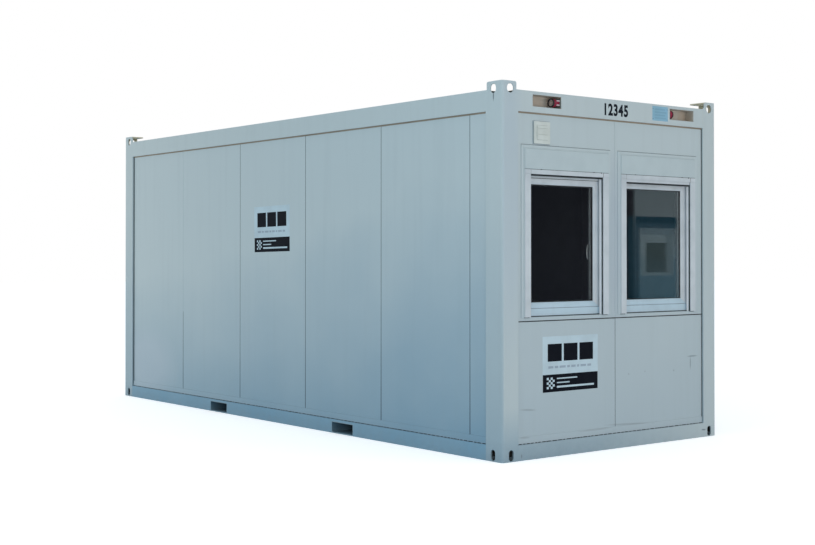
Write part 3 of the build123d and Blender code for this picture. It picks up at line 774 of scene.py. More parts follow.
window = inMetres(
    guideRound=2,
    slotFront=9,        # the curtain's slot in the guide, behind its front face
    slotBack=22,
    slotLength=34,
    brush=3.5,
    lipDepth=29,        # the guide's lip towards the sash, behind its slot
    lipWidth=14,
    lipThick=4,
    bandHeight=34,      # white foot of the shutter box
    groove=2.5,         # dark line between the band and the grey cover
    bead=12,            # glazing bead, sloping down to the glass
    beadDrop=7,
    lockStile=12,       # the sash is this much wider at its handle
    sheet=4,            # each pane of the double glazing
    spacer=11,
    brightEdge=3.5,
    seal=3,
    lip=13,             # rubber lip of the shutter's end slat
    footTape=7,         # black tape in the gap under the frame
    padHeight=5,        # and under the guides
    trimSeal=4,         # grey sealant over the cover strip
    leverBow=12,        # how far the handle's lever bows into the room
) | {"slatShows": (0, 23 * mm)}   # how far each shutter's end slat hangs out of its box

windowPieces = {
    # name: materials, slot, node it stands in for
    "shutter_guides_white": (["windowPlastic", "sealRubber", "shelteredPlastic"], "window_plastic", "shutter_guides"),
    "shutter_boxes_cover": (["windowPlastic", "sealRubber", "boxCover"], "shutter_box_plastic", "shutter_boxes"),
    "window_frames_white": (["windowPlastic", "sealRubber", "rainedPlastic"], "window_plastic", "window_frames"),
    "window_sashes_white": (["windowPlastic", "roomPlastic", "rainedPlastic"], "window_plastic", "window_sashes"),
    "window_seals": (["sealRubber", "paleSeal"], "gasket_rubber", None),
    "window_glass": (["floatGlass"], "glazing", "window_panes"),
    "window_spacers": (["windowPlastic", "sealRubber"], "gasket_rubber", None),
    "window_trims_strip": (["panelPaint"], "panel_paint", "window_trims"),
    "window_handles_white": (["shelteredPlastic", "roomPlastic"], "window_plastic", "window_handles"),
    "window_foot_tapes": (["jointSeal"], "gasket_rubber", None),
    "window_trim_seals": (["trimSealant"], "gasket_rubber", None),
}


def addGuide(bm, box, slotOnRight):
    # a hollow plastic rail: its inner edge is slotted for the shutter's slats and lined with brushes
    low, high = box
    inner, outer = (high.x, low.x) if slotOnRight else (low.x, high.x)
    towards = -1 if slotOnRight else 1
    deep = inner + towards * window["slotLength"]
    front, back = low.y + window["slotFront"], low.y + window["slotBack"]
    outline = [(inner, low.y), (outer, low.y), (outer, high.y), (inner, high.y), (inner, back), (deep, back),
               (deep, front), (inner, front)]
    faces = addExtrusion(bm, (0, 0), [(u / mm, v / mm) for u, v in outline], low.z, high.z, along="w")
    roundEdges(bm, {e for f in faces for e in f.edges if liesAt(e, 1, low.y)}, window["guideRound"])
    start, end = sorted((inner, deep))
    for brush in (front, back - window["brush"]):
        addBlock(bm, (start, brush, low.z), (end, brush + window["brush"], high.z), 1)
    # the lip is in the paler white: painted light
    start, end = sorted((inner, inner - towards * window["lipWidth"]))
    lip = low.y + window["lipDepth"]
    addBlock(bm, (start, lip, low.z), (end, lip + window["lipThick"], high.z), 2, 1)


def addShutterBox(bm, box, guides, shows):
    # grey cover above, white band with its end caps below, and the end slat in its slot
    low, high = box
    face, back, foot = low.y, depthOf(box), low.z
    left, right = guides[0][1].x, guides[1][0].x
    bandTop = foot + window["bandHeight"]
    coverFoot, slatFoot = bandTop + window["groove"], foot - shows
    slat = (left + 2 * mm, right - 2 * mm)
    addBar(bm, (low.x, high.x), face, (0, back), (coverFoot, high.z), 2, 3)
    addBar(bm, (low.x, high.x), face, (29, back), (foot, coverFoot))
    # a black block inside the box, seen through the groove: painted shade of the box's dark inside
    addBar(bm, (low.x + 1 * mm, high.x - 1 * mm), face, (4, 29), (bandTop - 3 * mm, high.z - 60 * mm), 1)
    addBar(bm, (left + 1 * mm, right - 1 * mm), face, (1.5, 5), (foot, bandTop), 0, 1)
    for cap in ((low.x, left), (right, high.x)):
        addBar(bm, cap, face, (0, 29), (foot, bandTop), 0, 1.5)
    addBar(bm, slat, face, (9, 18), (slatFoot, bandTop - 4 * mm), 0, 1.5)
    addBar(bm, slat, face, (10, 17), (slatFoot - window["lip"], slatFoot), 1, 1.5)
    for u in (left, right):
        addBar(bm, (u - 1.5 * mm, u + 1.5 * mm), face, (0.5, 3), (foot, bandTop), 1)
    # two catches in the groove, and the tab of the end cap
    for u, wide, drop in ((left + 0.102, 12, 1), (right - 0.113, 12, 1), (right - 0.027, 8, 5)):
        addBar(bm, (u, u + wide * mm), face, (0.5, 3), (bandTop - drop * mm, coverFoot + 2 * mm), 1)


def markFoot(sides, height):
    # the lowest rail of a window has its own finish, a colder, bluer white
    setFinish([f for f in sides if f.calc_center_median().z < height], 2)


def addFrameRing(bm, frameBox, opening):
    back = depthOf(frameBox)
    sides = addRing(bm, rectOf(frameBox), opening, frameBox[0].y, [(0, back), (0, 0)],
                    [(3, 0), (0.8, 0.8), (0, 3), (0, back)])
    markFoot(sides, opening[2])


def addSashRing(bm, sashBox, glassRect, paneBack):
    face, back = sashBox[0].y, depthOf(sashBox)
    seal, bead, drop = (window[size] / mm for size in ("seal", "bead", "beadDrop"))
    sides = addRing(
        bm, rectOf(sashBox), glassRect, face,
        [(0.5, back), (0.5, 12), (seal, 12), (seal, 3), (seal + 0.8, 0.8), (seal + 3, 0)],
        [(bead + 1.5, 0), (bead + 1, 1), (bead, 0.6), (2, drop), (0, drop + 2), (0, (paneBack - face) / mm),
         (0, back - 3), (3, back)],
    )
    markFoot(sides, glassRect[2])
    # the room side is painted a darker grey: painted shade
    setFinish([f for f in sides if f.calc_center_median().y > paneBack], 1)


def addGlazing(seals, glass, spacers, pane, glassRect):
    # two sheets with their seals, and a spacer bar: black butyl in front, with a pale edge behind
    low, high = pane
    sheet, rect = window["sheet"], grown(glassRect, -2 * mm)
    for front in (low.y - 1.5 * mm, high.y):
        addLevelRing(seals, rect, grown(rect, -2.5 * mm), front, 1.5)
    for front in (low.y, high.y - sheet):
        addBlock(glass, (low.x, front, low.z), (high.x, front + sheet, high.z))
    outer, inner = grown(glassRect, -1 * mm), grown(glassRect, -window["spacer"])
    front, bright = low.y + sheet + 0.1 * mm, high.y - sheet - 0.1 * mm - window["brightEdge"]
    addLevelRing(spacers, outer, inner, front, (bright - front) / mm, 1)
    addLevelRing(spacers, outer, inner, bright, window["brightEdge"] / mm)


def addHandle(bm, box, finish):
    # turn handle on the room side: oval plate, round neck and a lever that bows into the room
    low, high = box
    u, neck, bow = (low.x + high.x) / 2, high.z - 10 * mm, window["leverBow"]
    leverFace = high.y - 6 * mm
    before = set(bm.faces)
    addBar(bm, (low.x, high.x), low.y, (0, 9), (neck - 35 * mm, neck + 35 * mm), 0, 3.5, 3)
    addRod(bm, (u, low.y + 9 * mm, neck), (u, leverFace, neck), 9 * mm, sides=20)
    reach = neck - low.z
    radius = (reach ** 2 / 4 + bow ** 2) / (2 * bow)
    section = Matrix.Translation((u, leverFace, neck + 4 * mm)) @ Matrix.Diagonal((9 * mm, 5.5 * mm, 1, 1))
    ring = bmesh.ops.create_circle(bm, cap_ends=False, segments=16, radius=1, matrix=section)["verts"]
    edges = list(edgesOf(ring))
    spun = bmesh.ops.spin(
        bm, geom=ring + edges, cent=(u, leverFace + bow - radius, (neck + low.z) / 2), axis=(1, 0, 0),
        angle=-2 * math.asin(reach / 2 / radius), steps=12, use_duplicate=False,
    )["geom_last"]
    tip = [g for g in spun if isinstance(g, bmesh.types.BMEdge)]
    caps = [f for end in (edges, tip) for f in bmesh.ops.contextual_create(bm, geom=end)["faces"]]
    bmesh.ops.recalc_face_normals(bm, faces=bm.faces)
    roundEdges(bm, {e for f in caps for e in f.edges}, 2.5 * mm)
    setFinish(set(bm.faces) - before, finish)


def addTrim(bm, trimBox, shutterBox, foot):
    # cover strip: thin at its outer edge, stepped up against the unit
    back = depthOf(trimBox)
    inner = (shutterBox[0].x, shutterBox[1].x, foot, shutterBox[1].z)
    addRing(bm, rectOf(trimBox), grown(inner, 0.5 * mm), trimBox[0].y, [(0, back), (0, 8), (5, 5.5)],
            [(9, 5), (6, 0.5), (1, 0), (0, 1), (0, back)], openBottom=True)


def addFootTape(bm, pair, frameBox):
    # black compressible tape in the gap under the frame, and a thin dark strip under each guide, painted shade
    foot = frameBox[0].z
    addBar(bm, (pair[0][1].x, pair[1][0].x), frameBox[0].y, (-5, 0), (foot, foot + window["footTape"]), 0, 1)
    for low, high in pair:
        addBar(bm, (low.x + 2 * mm, high.x - 2 * mm), wallOuter["windowEnd"], (-2, 0),
               (foot - window["padHeight"], foot))


def buildWindows():
    facade = "windowEnd"
    bms = {name: bmesh.new() for name in windowPieces}
    guides = solidBoxes("shutter_guides", facade)
    parts = ("shutter_boxes", "window_frames", "window_sashes", "window_panes", "window_trims", "window_handles")
    for i, boxes in enumerate(zip(*(solidBoxes(node, facade) for node in parts))):
        shutterBox, frameBox, sashBox, pane, trimBox, handle = boxes
        pair = guides[2 * i:2 * i + 2]
        for guide, slotOnRight in zip(pair, (True, False)):
            addGuide(bms["shutter_guides_white"], guide, slotOnRight)
        addShutterBox(bms["shutter_boxes_cover"], shutterBox, pair, window["slatShows"][i])
        left, right, foot, top = rectOf(pane)
        glassRect = (left, right - window["lockStile"], foot, top)
        sash, sealFace = rectOf(sashBox), sashBox[0].y + 4 * mm
        addFrameRing(bms["window_frames_white"], frameBox, grown(sash, 0.3 * mm))
        addSashRing(bms["window_sashes_white"], sashBox, grown(glassRect, -2 * mm), pane[1].y)
        addLevelRing(bms["window_seals"], sash, grown(sash, -window["seal"] - 1 * mm), sealFace, 5)
        addGlazing(bms["window_seals"], bms["window_glass"], bms["window_spacers"], pane, glassRect)
        addTrim(bms["window_trims_strip"], trimBox, shutterBox, pair[0][0].z)
        # the near handle is in the paler white, painted light; the far one in dark grey, painted shade
        addHandle(bms["window_handles_white"], handle, i)
        addFootTape(bms["window_foot_tapes"], pair, frameBox)
        low, high = trimBox
        addBar(bms["window_trim_seals"], (low.x - 2 * mm, high.x + 2 * mm), high.y, (-3, 0),
               (high.z, high.z + window["trimSeal"]), 0, 1)
    # the lowest run of the seals is paler
    seals = bms["window_seals"].faces
    setFinish([f for f in seals if abs(f.calc_center_median().z - sashBox[0].z) < 6 * mm], 1)
    for name, (materials, slot, node) in windowPieces.items():
        makePiece(name, bms[name], materials, [node] if node else [], facade)
    print("windows: guides, shutter boxes, frames, sashes, glass, trims and handles")


buildWindows()


# Vent cover

vent = inMetres(
    flapProud=4,        # raised flap in front of the flange
    margin=30,          # flange showing round the flap
    corner=6,
    groove=2.2,
    sealant=5,
    screwInset=11,
) | {"grooves": (0.36, 0.80)}   # heights of the two lines across the flap, as shares


def buildVent():
    # moulded cover: a thick flange bedded in grey sealant, with a flat flap raised in the middle
    low, high = solidBoxes("vent_cover", "windowEnd")[0]
    rect = rectOf((low, high))
    bm = bmesh.new()
    face = low.y + vent["flapProud"]
    flange = addBlock(bm, (low.x, face, low.z), high)
    upright = [e for e in edgesOf(flange) if abs(e.verts[0].co.y - e.verts[1].co.y) > 1 * mm]
    roundEdges(bm, upright, vent["corner"], 4)
    roundEdges(bm, [e for e in bm.edges if liesAt(e, 1, face)], 1.5 * mm)
    # the sides are darker: grime and painted shade
    setFinish([f for f in bm.faces if f.normal.y > -0.3], 1)
    flap = grown(rect, -vent["margin"])
    height, half = flap[3] - flap[2], vent["groove"] / 2
    cuts = [flap[2] + share * height for share in (0, *vent["grooves"], 1)]
    for foot, top in zip(cuts, cuts[1:]):
        bar = addBlock(bm, (flap[0], low.y, foot + half), (flap[1], face, top - half))
        roundEdges(bm, [e for e in edgesOf(bar) if liesAt(e, 1, low.y)], 1.2 * mm)
    # a thin darker ring round the flap: painted shade of a groove
    addLevelRing(bm, flap, grown(flap, 2 * mm), face - 0.4 * mm, 0.4, 1)
    addLevelRing(bm, grown(rect, vent["sealant"]), rect, high.y - 2 * mm, 2, 2)
    left, right, foot, top = grown(rect, -vent["screwInset"])
    for u, w in itertools.product((left, right), (foot, top)):
        addRod(bm, (u, face, w), (u, face - 1.2 * mm, w), 3.4 * mm, sides=12, endRadius=2.4 * mm)
    makePiece("vent_cover_flap", bm, ["ventPlastic", "ventGrime", "paleSeal"], ["vent_cover"],
              "windowEnd")
    print("vent cover")


buildVent()


# Power couplings in the roof rail

coupling = inMetres(
    radius=34, flange=6, mouthRing=11, rim=8, collar=26, insertDepth=7, pinCircle=15, clipHeight=11, clipAway=16,
) | {"ribs": 14, "pins": 5}


def roundTable(count, radius):
    # evenly spaced places on a circle
    angles = [2 * math.pi * i / count for i in range(count)]
    return [(radius * math.cos(angle), radius * math.sin(angle)) for angle in angles]


def buildCouplings():
    # five-pin power couplings: a grey flange, a red body with two pale blocks that are painted highlights,
    # a ribbed collar and a black mouth. One stands on the right wall of the left recess, the other faces it.
    bm = bmesh.new()
    radius, flange = coupling["radius"], coupling["flange"]
    for (low, high), towards in zip(solidBoxes("power_sockets", "windowEnd"), (-1, 1)):
        wall, length, size = high.x if towards < 0 else low.x, high.x - low.x, (high.z - low.z) / 2
        v, w = (low.y + high.y) / 2, (low.z + high.z) / 2
        ringStart, insert = length - coupling["mouthRing"], length - coupling["insertDepth"]
        collarStart = ringStart - coupling["collar"]

        def block(start, end, vs, ws, finish):
            across = sorted((wall + towards * start, wall + towards * end))
            addBlock(bm, *zip(across, [v + dv for dv in vs], [w + dw for dw in ws]), finish, 1.5)

        def rod(start, end, rodRadius, spot=(0, 0), **look):
            ends = [(wall + towards * distance, v + spot[0], w + spot[1]) for distance in (start, end)]
            addRod(bm, *ends, rodRadius, **look)

        block(0, flange, (-size, size), (-size, size), 2)
        corner = size - 8 * mm
        for spot in itertools.product((-corner, corner), repeat=2):
            rod(flange, flange + 2 * mm, 3.5 * mm, spot, finish=4, sides=12)
        rod(flange, collarStart, radius - 9 * mm, sides=36, endRadius=radius - 5 * mm)
        half = coupling["clipHeight"] / 2
        for middle in (-coupling["clipAway"], coupling["clipAway"]):
            block(flange + 1 * mm, collarStart, (-radius + 4 * mm, 0), (middle - half, middle + half), 6)
        rod(collarStart, ringStart, radius - 3 * mm, sides=40, endRadius=radius - 4 * mm)
        for spot in roundTable(coupling["ribs"], radius - 4 * mm):
            rod(collarStart + 1 * mm, ringStart - 1 * mm, 3.5 * mm, spot, sides=10)
        addTube(bm, wall + towards * ringStart, wall + towards * length, v, w, radius, radius - coupling["rim"], 1)
        rod(ringStart - 1 * mm, insert, radius - coupling["rim"] - 1 * mm, finish=3, sides=32)
        for spot in roundTable(coupling["pins"], coupling["pinCircle"]):
            rod(insert, length - 1 * mm, 3 * mm, spot, finish=5, sides=12, endRadius=2.4 * mm)
    looks = ["redPlastic", "blackPlastic", "flangeGrey", "paleInsert", "zincScrew", "brassPin", "lidPlastic"]
    makePiece("power_couplings", bm, looks, ["power_sockets"], "windowEnd")
    print("power couplings")


buildCouplings()


# Floor, ceiling and roof

roof = inMetres(
    seamEdge=3,         # folded seams are round on top
    sheet=2,
    longInset=185,      # the sealant along the rails stops this far from the corners, on the long sides
    endInset=165,       # and on the ends
    seamCap=16,         # sealant lump at each end of a seam
    rivetAway=22,       # rivets beside a seam
    rivetEvery=460,
    rivetRadius=4,
)


def buildRoofAndFloor():
    low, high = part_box("roof_sheet")
    sheetTop = low.z + roof["sheet"]
    refine("floor_deck", "board", ["particleBoard", "floorVinyl"], 0.8 * mm,
           isInner=lambda centre, normal: normal.z > 0.5)
    refine("cross_members", "tubes", ["galvanised"], 1.2 * mm)
    refine("ceiling_panel", "board", ["ceilingBoard"], 1 * mm)
    # only the seams are folded: the sheet's own border is cut
    refine("roof_sheet", "seams", ["galvanised"], roof["seamEdge"],
           lambda edge: max(v.co.z for v in edge.verts) < sheetTop + 0.1 * mm)
    # four fillets of sealant, one along each rail
    for facade in facades:
        isLong = facade in longSides
        edge = halfWidth + low.y if isLong else halfLength + low.x
        start = roof["longInset" if isLong else "endInset"]
        run = bmesh.new()
        addExtrusion(run, (edge, sheetTop), [(-1, 0), (-1, 12), (4.2, 4.8), (12, 0)], start,
                     facadeWidth(facade) - start)
        makePiece("roof_sealant_" + facade, run, ["trimSealant"], facade=facade)
    # seams: a lump of sealant at each end and rivets down both sides
    lumps, rivets = bmesh.new(), bmesh.new()
    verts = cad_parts["roof_sheet"].data.vertices
    edges = sorted({round(v.co.x, 4) for v in verts if v.co.z > high.z - 0.1 * mm})
    cap = roof["seamCap"]
    rivetRows = spread(low.y, high.y, int((high.y - low.y) / roof["rivetEvery"]))
    for left, right in zip(edges[0::2], edges[1::2]):
        x = (left + right) / 2
        for y in (low.y + cap, high.y - cap):
            addBlock(lumps, (x - 0.8 * cap, y - cap, sheetTop), (x + 0.8 * cap, y + cap, high.z - 1 * mm), 0, 5)
        for y, side in itertools.product(rivetRows, (-roof["rivetAway"], roof["rivetAway"])):
            addRivet(rivets, (x + side, y, sheetTop), (0, 0, 2 * mm), roof["rivetRadius"])
    makePiece("roof_seam_sealant", lumps, ["trimSealant"])
    makePiece("roof_rivets", rivets, ["zincScrew"])
    print("floor, ceiling and roof")


buildRoofAndFloor()


# Door in the far end

door = inMetres(
    gap=4,
    border=85,          # flat border round the leaf's pressed field
    press=9,
    pressDepth=6,
    skin=20,            # outer and inner steel skins, with the core showing between them
    knuckleGap=1.5,
    hingePlate=34,
    keyDrop=62,         # keyhole below the lever
) | {"ribs": 4}   # along the threshold plate


def addSkin(bm, low, high, outward):
    # a steel tray with a pressed field; outward is -1 outside and 1 inside
    verts = addBlock(bm, low, high)
    field = next(f for f in facesOf(verts) if f.normal.y * outward > 0.5)
    roundEdges(bm, list(field.edges), 2 * mm)
    level = max(bm.faces, key=lambda f: (f.calc_area() if f.normal.y * outward > 0.99 else 0, f.index))
    bmesh.ops.inset_region(bm, faces=[level], thickness=door["border"], depth=0)
    bmesh.ops.inset_region(bm, faces=[level], thickness=door["press"], depth=-door["pressDepth"])
    bmesh.ops.recalc_face_normals(bm, faces=bm.faces)


def addLever(bm, box, outward):
    # back plate, rose, neck and lever, with the keyhole below; sizes in mm
    low, high = box
    face = high.y if outward < 0 else low.y
    u, w, drop = high.x - 20 * mm, (low.z + high.z) / 2, door["keyDrop"] / mm

    def block(us, depth, ws, rounding, finish=0):
        depths = sorted(face + outward * d * mm for d in depth)
        addBlock(bm, *zip([u + du * mm for du in us], depths, [w + dw * mm for dw in ws]), finish, rounding, 3)

    def rod(start, end, radius, dw=0, endRadius=None, **look):
        ends = [(u, face + outward * d * mm, w + dw * mm) for d in (start, end)]
        addRod(bm, *ends, radius * mm, endRadius=endRadius and endRadius * mm, **look)

    block((-20, 20), (0, 8), (-110, 110), 3.5)
    rod(8, 12, 16, endRadius=13, sides=28)
    rod(10, 27, 8, sides=20)
    block(((low.x - u) / mm, 9), (19, 31), (-7, 7), 5)
    rod(7, 10.5, 8.5, 4 - drop, sides=24)
    block((-5, 5), (7, 10.5), (-drop - 14, -drop), 1.5)
    rod(10.4, 11, 6.5, 4 - drop, sides=20, finish=1)
    block((-1, 1), (10, 11.4), (-drop - 0.5, 8.5 - drop), 0.3, 2)
    for screw in (-96, 96):
        rod(8, 9.2, 4, screw, endRadius=3, sides=14, finish=1)
        block((-2.6, 2.6), (9, 9.4), (screw - 0.5, screw + 0.5), 0.1, 2)


def addHinge(bm, box):
    # three knuckles on a pin, and the plate screwed to the leaf
    low, high = box
    u, v, radius = (low.x + high.x) / 2, (low.y + high.y) / 2, (high.x - low.x) / 2
    third, half = (high.z - low.z) / 3, door["knuckleGap"] / 2
    for i in range(3):
        foot = low.z + third * i
        verts = addRod(bm, (u, v, foot + half), (u, v, foot + third - half), radius)
        ends = [e for e in edgesOf(verts) if abs(e.verts[0].co.z - e.verts[1].co.z) < 0.1 * mm]
        roundEdges(bm, ends, 0.8 * mm)
    addRod(bm, (u, v, low.z), (u, v, high.z), radius * 0.6, sides=16)
    back, screws = high.y + 1 * mm, u + door["hingePlate"]
    addBar(bm, (u, screws + radius), back, (-2.5, 0), (low.z + 6 * mm, high.z - 6 * mm), 0, 1)
    for spot in (-0.34, 0, 0.34):
        w = (low.z + high.z) / 2 + spot * (high.z - low.z) * 0.8
        addRod(bm, (screws, back - 2.5 * mm, w), (screws, back - 3.6 * mm, w), 4 * mm, 1, 14, 3 * mm)


def buildDoor():
    facade = "doorEnd"
    frameBox = solidBoxes("door_frame", facade)[0]
    leafLow, leafHigh = solidBoxes("door_leaf", facade)[0]
    gap, sill, skin = door["gap"], leafLow.z - 0.5 * mm, door["skin"]
    opening = (leafLow.x - gap, leafHigh.x + gap, sill, leafHigh.z + gap)
    face, back, wall, top = frameBox[0].y, depthOf(frameBox), wallOuter[facade], frameBox[1].z

    bm = bmesh.new()
    addRing(bm, rectOf(frameBox), opening, face, [(0, back), (0, 2), (0.6, 0.6), (2, 0)],
            [(3, 0), (0.8, 0.8), (0, 3), (0, back)])
    makePiece("door_frame_steel", bm, ["doorPaint"], ["door_frame"], facade)

    # leaf: two pressed skins with the dark edge of the core between them, and a weather bar at the foot
    bm, inner = bmesh.new(), bmesh.new()
    addSkin(bm, leafLow, (leafHigh.x, leafLow.y + skin, leafHigh.z), -1)
    addSkin(inner, (leafLow.x, leafHigh.y - skin, leafLow.z), leafHigh, 1)
    bar = [(0, 34), (-3, 34), (-20, 6), (-20, 0), (-17, 0), (0, 5)]
    addExtrusion(bm, (leafLow.y, leafLow.z + 24 * mm), bar, leafLow.x + 14 * mm, leafHigh.x - 14 * mm)
    makePiece("door_leaf_skins", bm, ["doorPaint"], ["door_leaf"], facade)
    makePiece("door_leaf_inside", inner, ["doorPaint"], facade=facade)
    bm = bmesh.new()
    leafRect = rectOf((leafLow, leafHigh))
    left, right, foot, head = grown(leafRect, -1.5 * mm)
    addBlock(bm, (left, leafLow.y + skin, foot), (right, leafHigh.y - skin, head))
    addLevelRing(bm, opening, leafRect, leafLow.y + 12 * mm, 12)
    makePiece("door_seals", bm, ["sealRubber"], facade=facade)

    # threshold plate with its ribs
    bm = bmesh.new()
    left, right = opening[:2]
    addBlock(bm, (left, face - 1 * mm, sill - 1.5 * mm), (right, leafLow.y - 2 * mm, sill + 1 * mm), 0, 0.8)
    for i in range(door["ribs"]):
        rib = face + 3 * mm + (leafLow.y - face - 8 * mm) * i / (door["ribs"] - 1)
        addBar(bm, (left + 4 * mm, right - 4 * mm), rib, (-1, 1), (sill, sill + 2.4 * mm), 0, 0.6)
    makePiece("door_threshold", bm, ["anodised"], facade=facade)

    # drip strip over the frame and the sealant round it
    bm = bmesh.new()
    v = wall / mm
    strip = [(v, 20), (v - 1, 20), (2, 8), (2, 2), (3.5, 2), (3.5, 6), (v, 6)]
    addExtrusion(bm, (0, top), strip, frameBox[0].x - 12 * mm, frameBox[1].x + 12 * mm)
    makePiece("door_drip_strip", bm, ["doorPaint"], facade=facade)
    bm = bmesh.new()
    addRing(bm, grown(rectOf(frameBox), 5 * mm), rectOf(frameBox), wall, [(0, 0), (0.5, -1.5)], [(0, -4), (0, 0)])
    makePiece("door_sealant", bm, ["trimSealant"], facade=facade)
    bm = bmesh.new()
    for box in solidBoxes("door_fittings", facade):
        if box[1].z - box[0].z < 150 * mm:   # the levers' plates are taller
            addHinge(bm, box)
        else:
            addLever(bm, box, -1 if box[0].y < leafLow.y else 1)
    makePiece("door_fittings_metal", bm, ["anodised", "zincScrew", "blackPlastic"],
              ["door_fittings"], facade)
    print("door")


buildDoor()


# Number, data plate and labels: plain figures and shapes only. Rectangles are (left, right, bottom, top).

signs = {
    "number": "12345",
    "numberRect": (1.083, 1.353, 2.611, 2.707),
    "plateRect": (1.642, 1.832, 2.607, 2.725),
    "labelWidth": 0.596, "whiteHeight": 0.288, "darkHeight": 0.132,
    "film": 0.25 * mm,
}


def addLabels(name, facade, left, joinHeight, tilt):
    # two vinyl films on a panel: a pale one with three plain blocks over a row of dashes, and a
    # dark one with a check square and three bars
    bm = bmesh.new()
    face, film, width = wallOuter[facade], signs["film"], signs["labelWidth"]
    pale = (left, left + width, joinHeight, joinHeight + signs["whiteHeight"])
    dark = (left + 2 * mm, left + width - 2 * mm, joinHeight - signs["darkHeight"], joinHeight)
    for finish, (start, end, foot, top) in enumerate((pale, dark)):
        addBlock(bm, (start, face - film, foot), (end, face, top), finish)

    def printed(rect, u, wide, w, high, finish):
        # a printed patch, in shares of the label's width and height
        us = [rect[0] + share * (rect[1] - rect[0]) for share in (u, u + wide)]
        ws = [rect[2] + share * (rect[3] - rect[2]) for share in (w, w + high)]
        addBlock(bm, *zip(us, (face - 1.6 * film, face - film), ws), finish)

    for i in range(3):
        printed(pale, 0.09 + 0.285 * i, 0.25, 0.34, 0.46, 1)
    start = 0.10
    for share in (0.09, 0.06, 0.11, 0.05, 0.08, 0.04, 0.10, 0.07):
        printed(pale, start, share, 0.16, 0.06, 2)
        start += share + 0.025
    for row, column in itertools.product(range(5), range(4)):
        if (row + column) % 2 == 0:
            printed(dark, 0.07 + 0.035 * column, 0.035, 0.18 + 0.13 * row, 0.13, 0)
    for foot, long, thick in ((0.72, 0.37, 0.07), (0.48, 0.23, 0.07), (0.22, 0.68, 0.11)):
        printed(dark, 0.25, long, foot, thick, 0)
    # stuck on by hand, so one pair sits a little crooked
    turn = Matrix.Rotation(math.radians(-tilt), 3, "Y")
    bmesh.ops.rotate(bm, verts=bm.verts, cent=(left, face, joinHeight), matrix=turn)
    makePiece(name, bm, ["labelVinyl", "darkVinyl", "dullMark"], facade=facade)


def buildNumber():
    data = bpy.data.curves.new("number", "FONT")
    data.body = signs["number"]
    data.extrude = 0.002
    data.offset = 0.04
    data.space_character = 1.12
    flatText = newObject("number", data)
    bpy.context.view_layer.update()
    mesh = bpy.data.meshes.new_from_object(flatText.evaluated_get(bpy.context.evaluated_depsgraph_get()))
    bpy.data.objects.remove(flatText)
    bm = bmesh.new()
    bm.from_mesh(mesh)
    bpy.data.meshes.remove(mesh)
    bmesh.ops.remove_doubles(bm, verts=bm.verts, dist=0.0001)
    low = [min(v.co[i] for v in bm.verts) for i in range(3)]
    high = [max(v.co[i] for v in bm.verts) for i in range(3)]
    left, right, foot, top = signs["numberRect"]
    for v in bm.verts:
        u, w, depth = ((v.co[i] - low[i]) / (high[i] - low[i]) for i in range(3))
        face = steel["faceSetBack"] - signs["film"] * depth
        v.co = (left + (right - left) * u, face, foot + (top - foot) * w)
    bmesh.ops.recalc_face_normals(bm, faces=bm.faces)
    makePiece("unit_number", bm, ["stencilBlack"], facade="windowEnd")


def buildPlate():
    # blank enamelled data plate with its fields and four rivets
    left, right, foot, top = signs["plateRect"]
    bm = bmesh.new()
    back = steel["faceSetBack"]
    addBlock(bm, (left, 0.35 * mm, foot), (right, back, top), 0, 0.1)
    for row in range(4):
        w, end = foot + (0.14 + 0.20 * row) * (top - foot), right - 0.02 - 0.015 * (row % 2)
        addBar(bm, (left + 0.03, end), 0, (0.25, 0.35), (w, w + 0.012), 1)
    for u, w in itertools.product((left + 9 * mm, right - 9 * mm), (foot + 14 * mm, top - 22 * mm)):
        addRod(bm, (u, back, w), (u, 0.05 * mm, w), 3.6 * mm, 2, 12, 2.6 * mm)
    makePiece("data_plate", bm, ["plateBlue", "plateField", "stencilBlack"], facade="windowEnd")


buildNumber()
buildPlate()
addLabels("labels_window_end", "windowEnd", 0.424, 0.617, 0.0)
addLabels("labels_front", "front", 2.625, 1.678, 0.9)
print("number, data plate and labels")


# Stage: pale floor, soft studio light and the camera

stageLook = {
    "floorBounce": "#D6E6F0",
    "floorShown": "#F4F6F8",
    "floorGlow": 0.46,          # seen by the camera only, so the floor fades into the white surroundings
    "floorSize": 120,
    "skyTint": "#F2FAFF",
    "skyStrength": 0.69,
}

flags = {
    # what the panes mirror: name: low (y, z), high (y, z), colours at the foot and the top
    "darkFlag": ((3.6, 0.3), (7.1, 3.4), "#383B46", "#353741"),
    "greyFlag": ((7.03, 0.3), (9.4, 3.4), "#77A3B8", "#9CACB3"),
    # and in front of those, one after another: a far wall with its eaves and a small window
    "cornerFlag": ((6.88, 0.3), (7.02, 2.1), "#1F4F62", "#27566A"),
    "edgeFlag": ((7.02, 0.3), (7.12, 1.93), "#3C7188", "#4B7184"),
    "eavesFlag": ((7.02, 1.93), (7.95, 2.10), "#467186", "#21576D"),
    "wallFlag": ((7.12, 1.22), (7.86, 1.93), "#9AB9C5", "#AAC3CC"),
    "headFlag": ((7.12, 1.83), (7.86, 1.93), "#90ABB8", "#90ABB8"),
    "frameFlag": ((7.66, 1.25), (7.80, 1.83), "#90AAB4", "#90AAB4"),
    "hatchFlag": ((7.21, 1.27), (7.66, 1.71), "#637E86", "#60777B"),
}
flagPlane = 9.0
flagStep = 0.01     # each flag this much nearer the panes than the one before

lamps = {
    # name: place, aim, size, power in watts, colour, whether it shows through the glass
    "farSideLamp": ((-7.0, -6.0, 1.2), (-2.5, -1.2, 0.8), 4.0, 165, "#FFEDDC", True),
    "nearTopLamp": ((3.5, -5.5, 5.5), (1.6, -1.2, 2.3), 3.0, 28, "#C6F1FF", True),
    "endLamp": ((9.5, 2.8, 1.1), (3.0, 0.6, 0.8), 4.0, 122, "#FFDAC0", False),
    "cornerLamp": ((9.0, -6.0, 1.5), (3.0, -0.8, 1.2), 3.0, 130, "#FFF4EF", True),
}

cameraLook = {
    "place": (10.1505, -7.7587, 1.5096), "tiltDown": -0.00975, "turn": 0.89953, "lens": 58.418, "shiftUp": -0.0358,
}


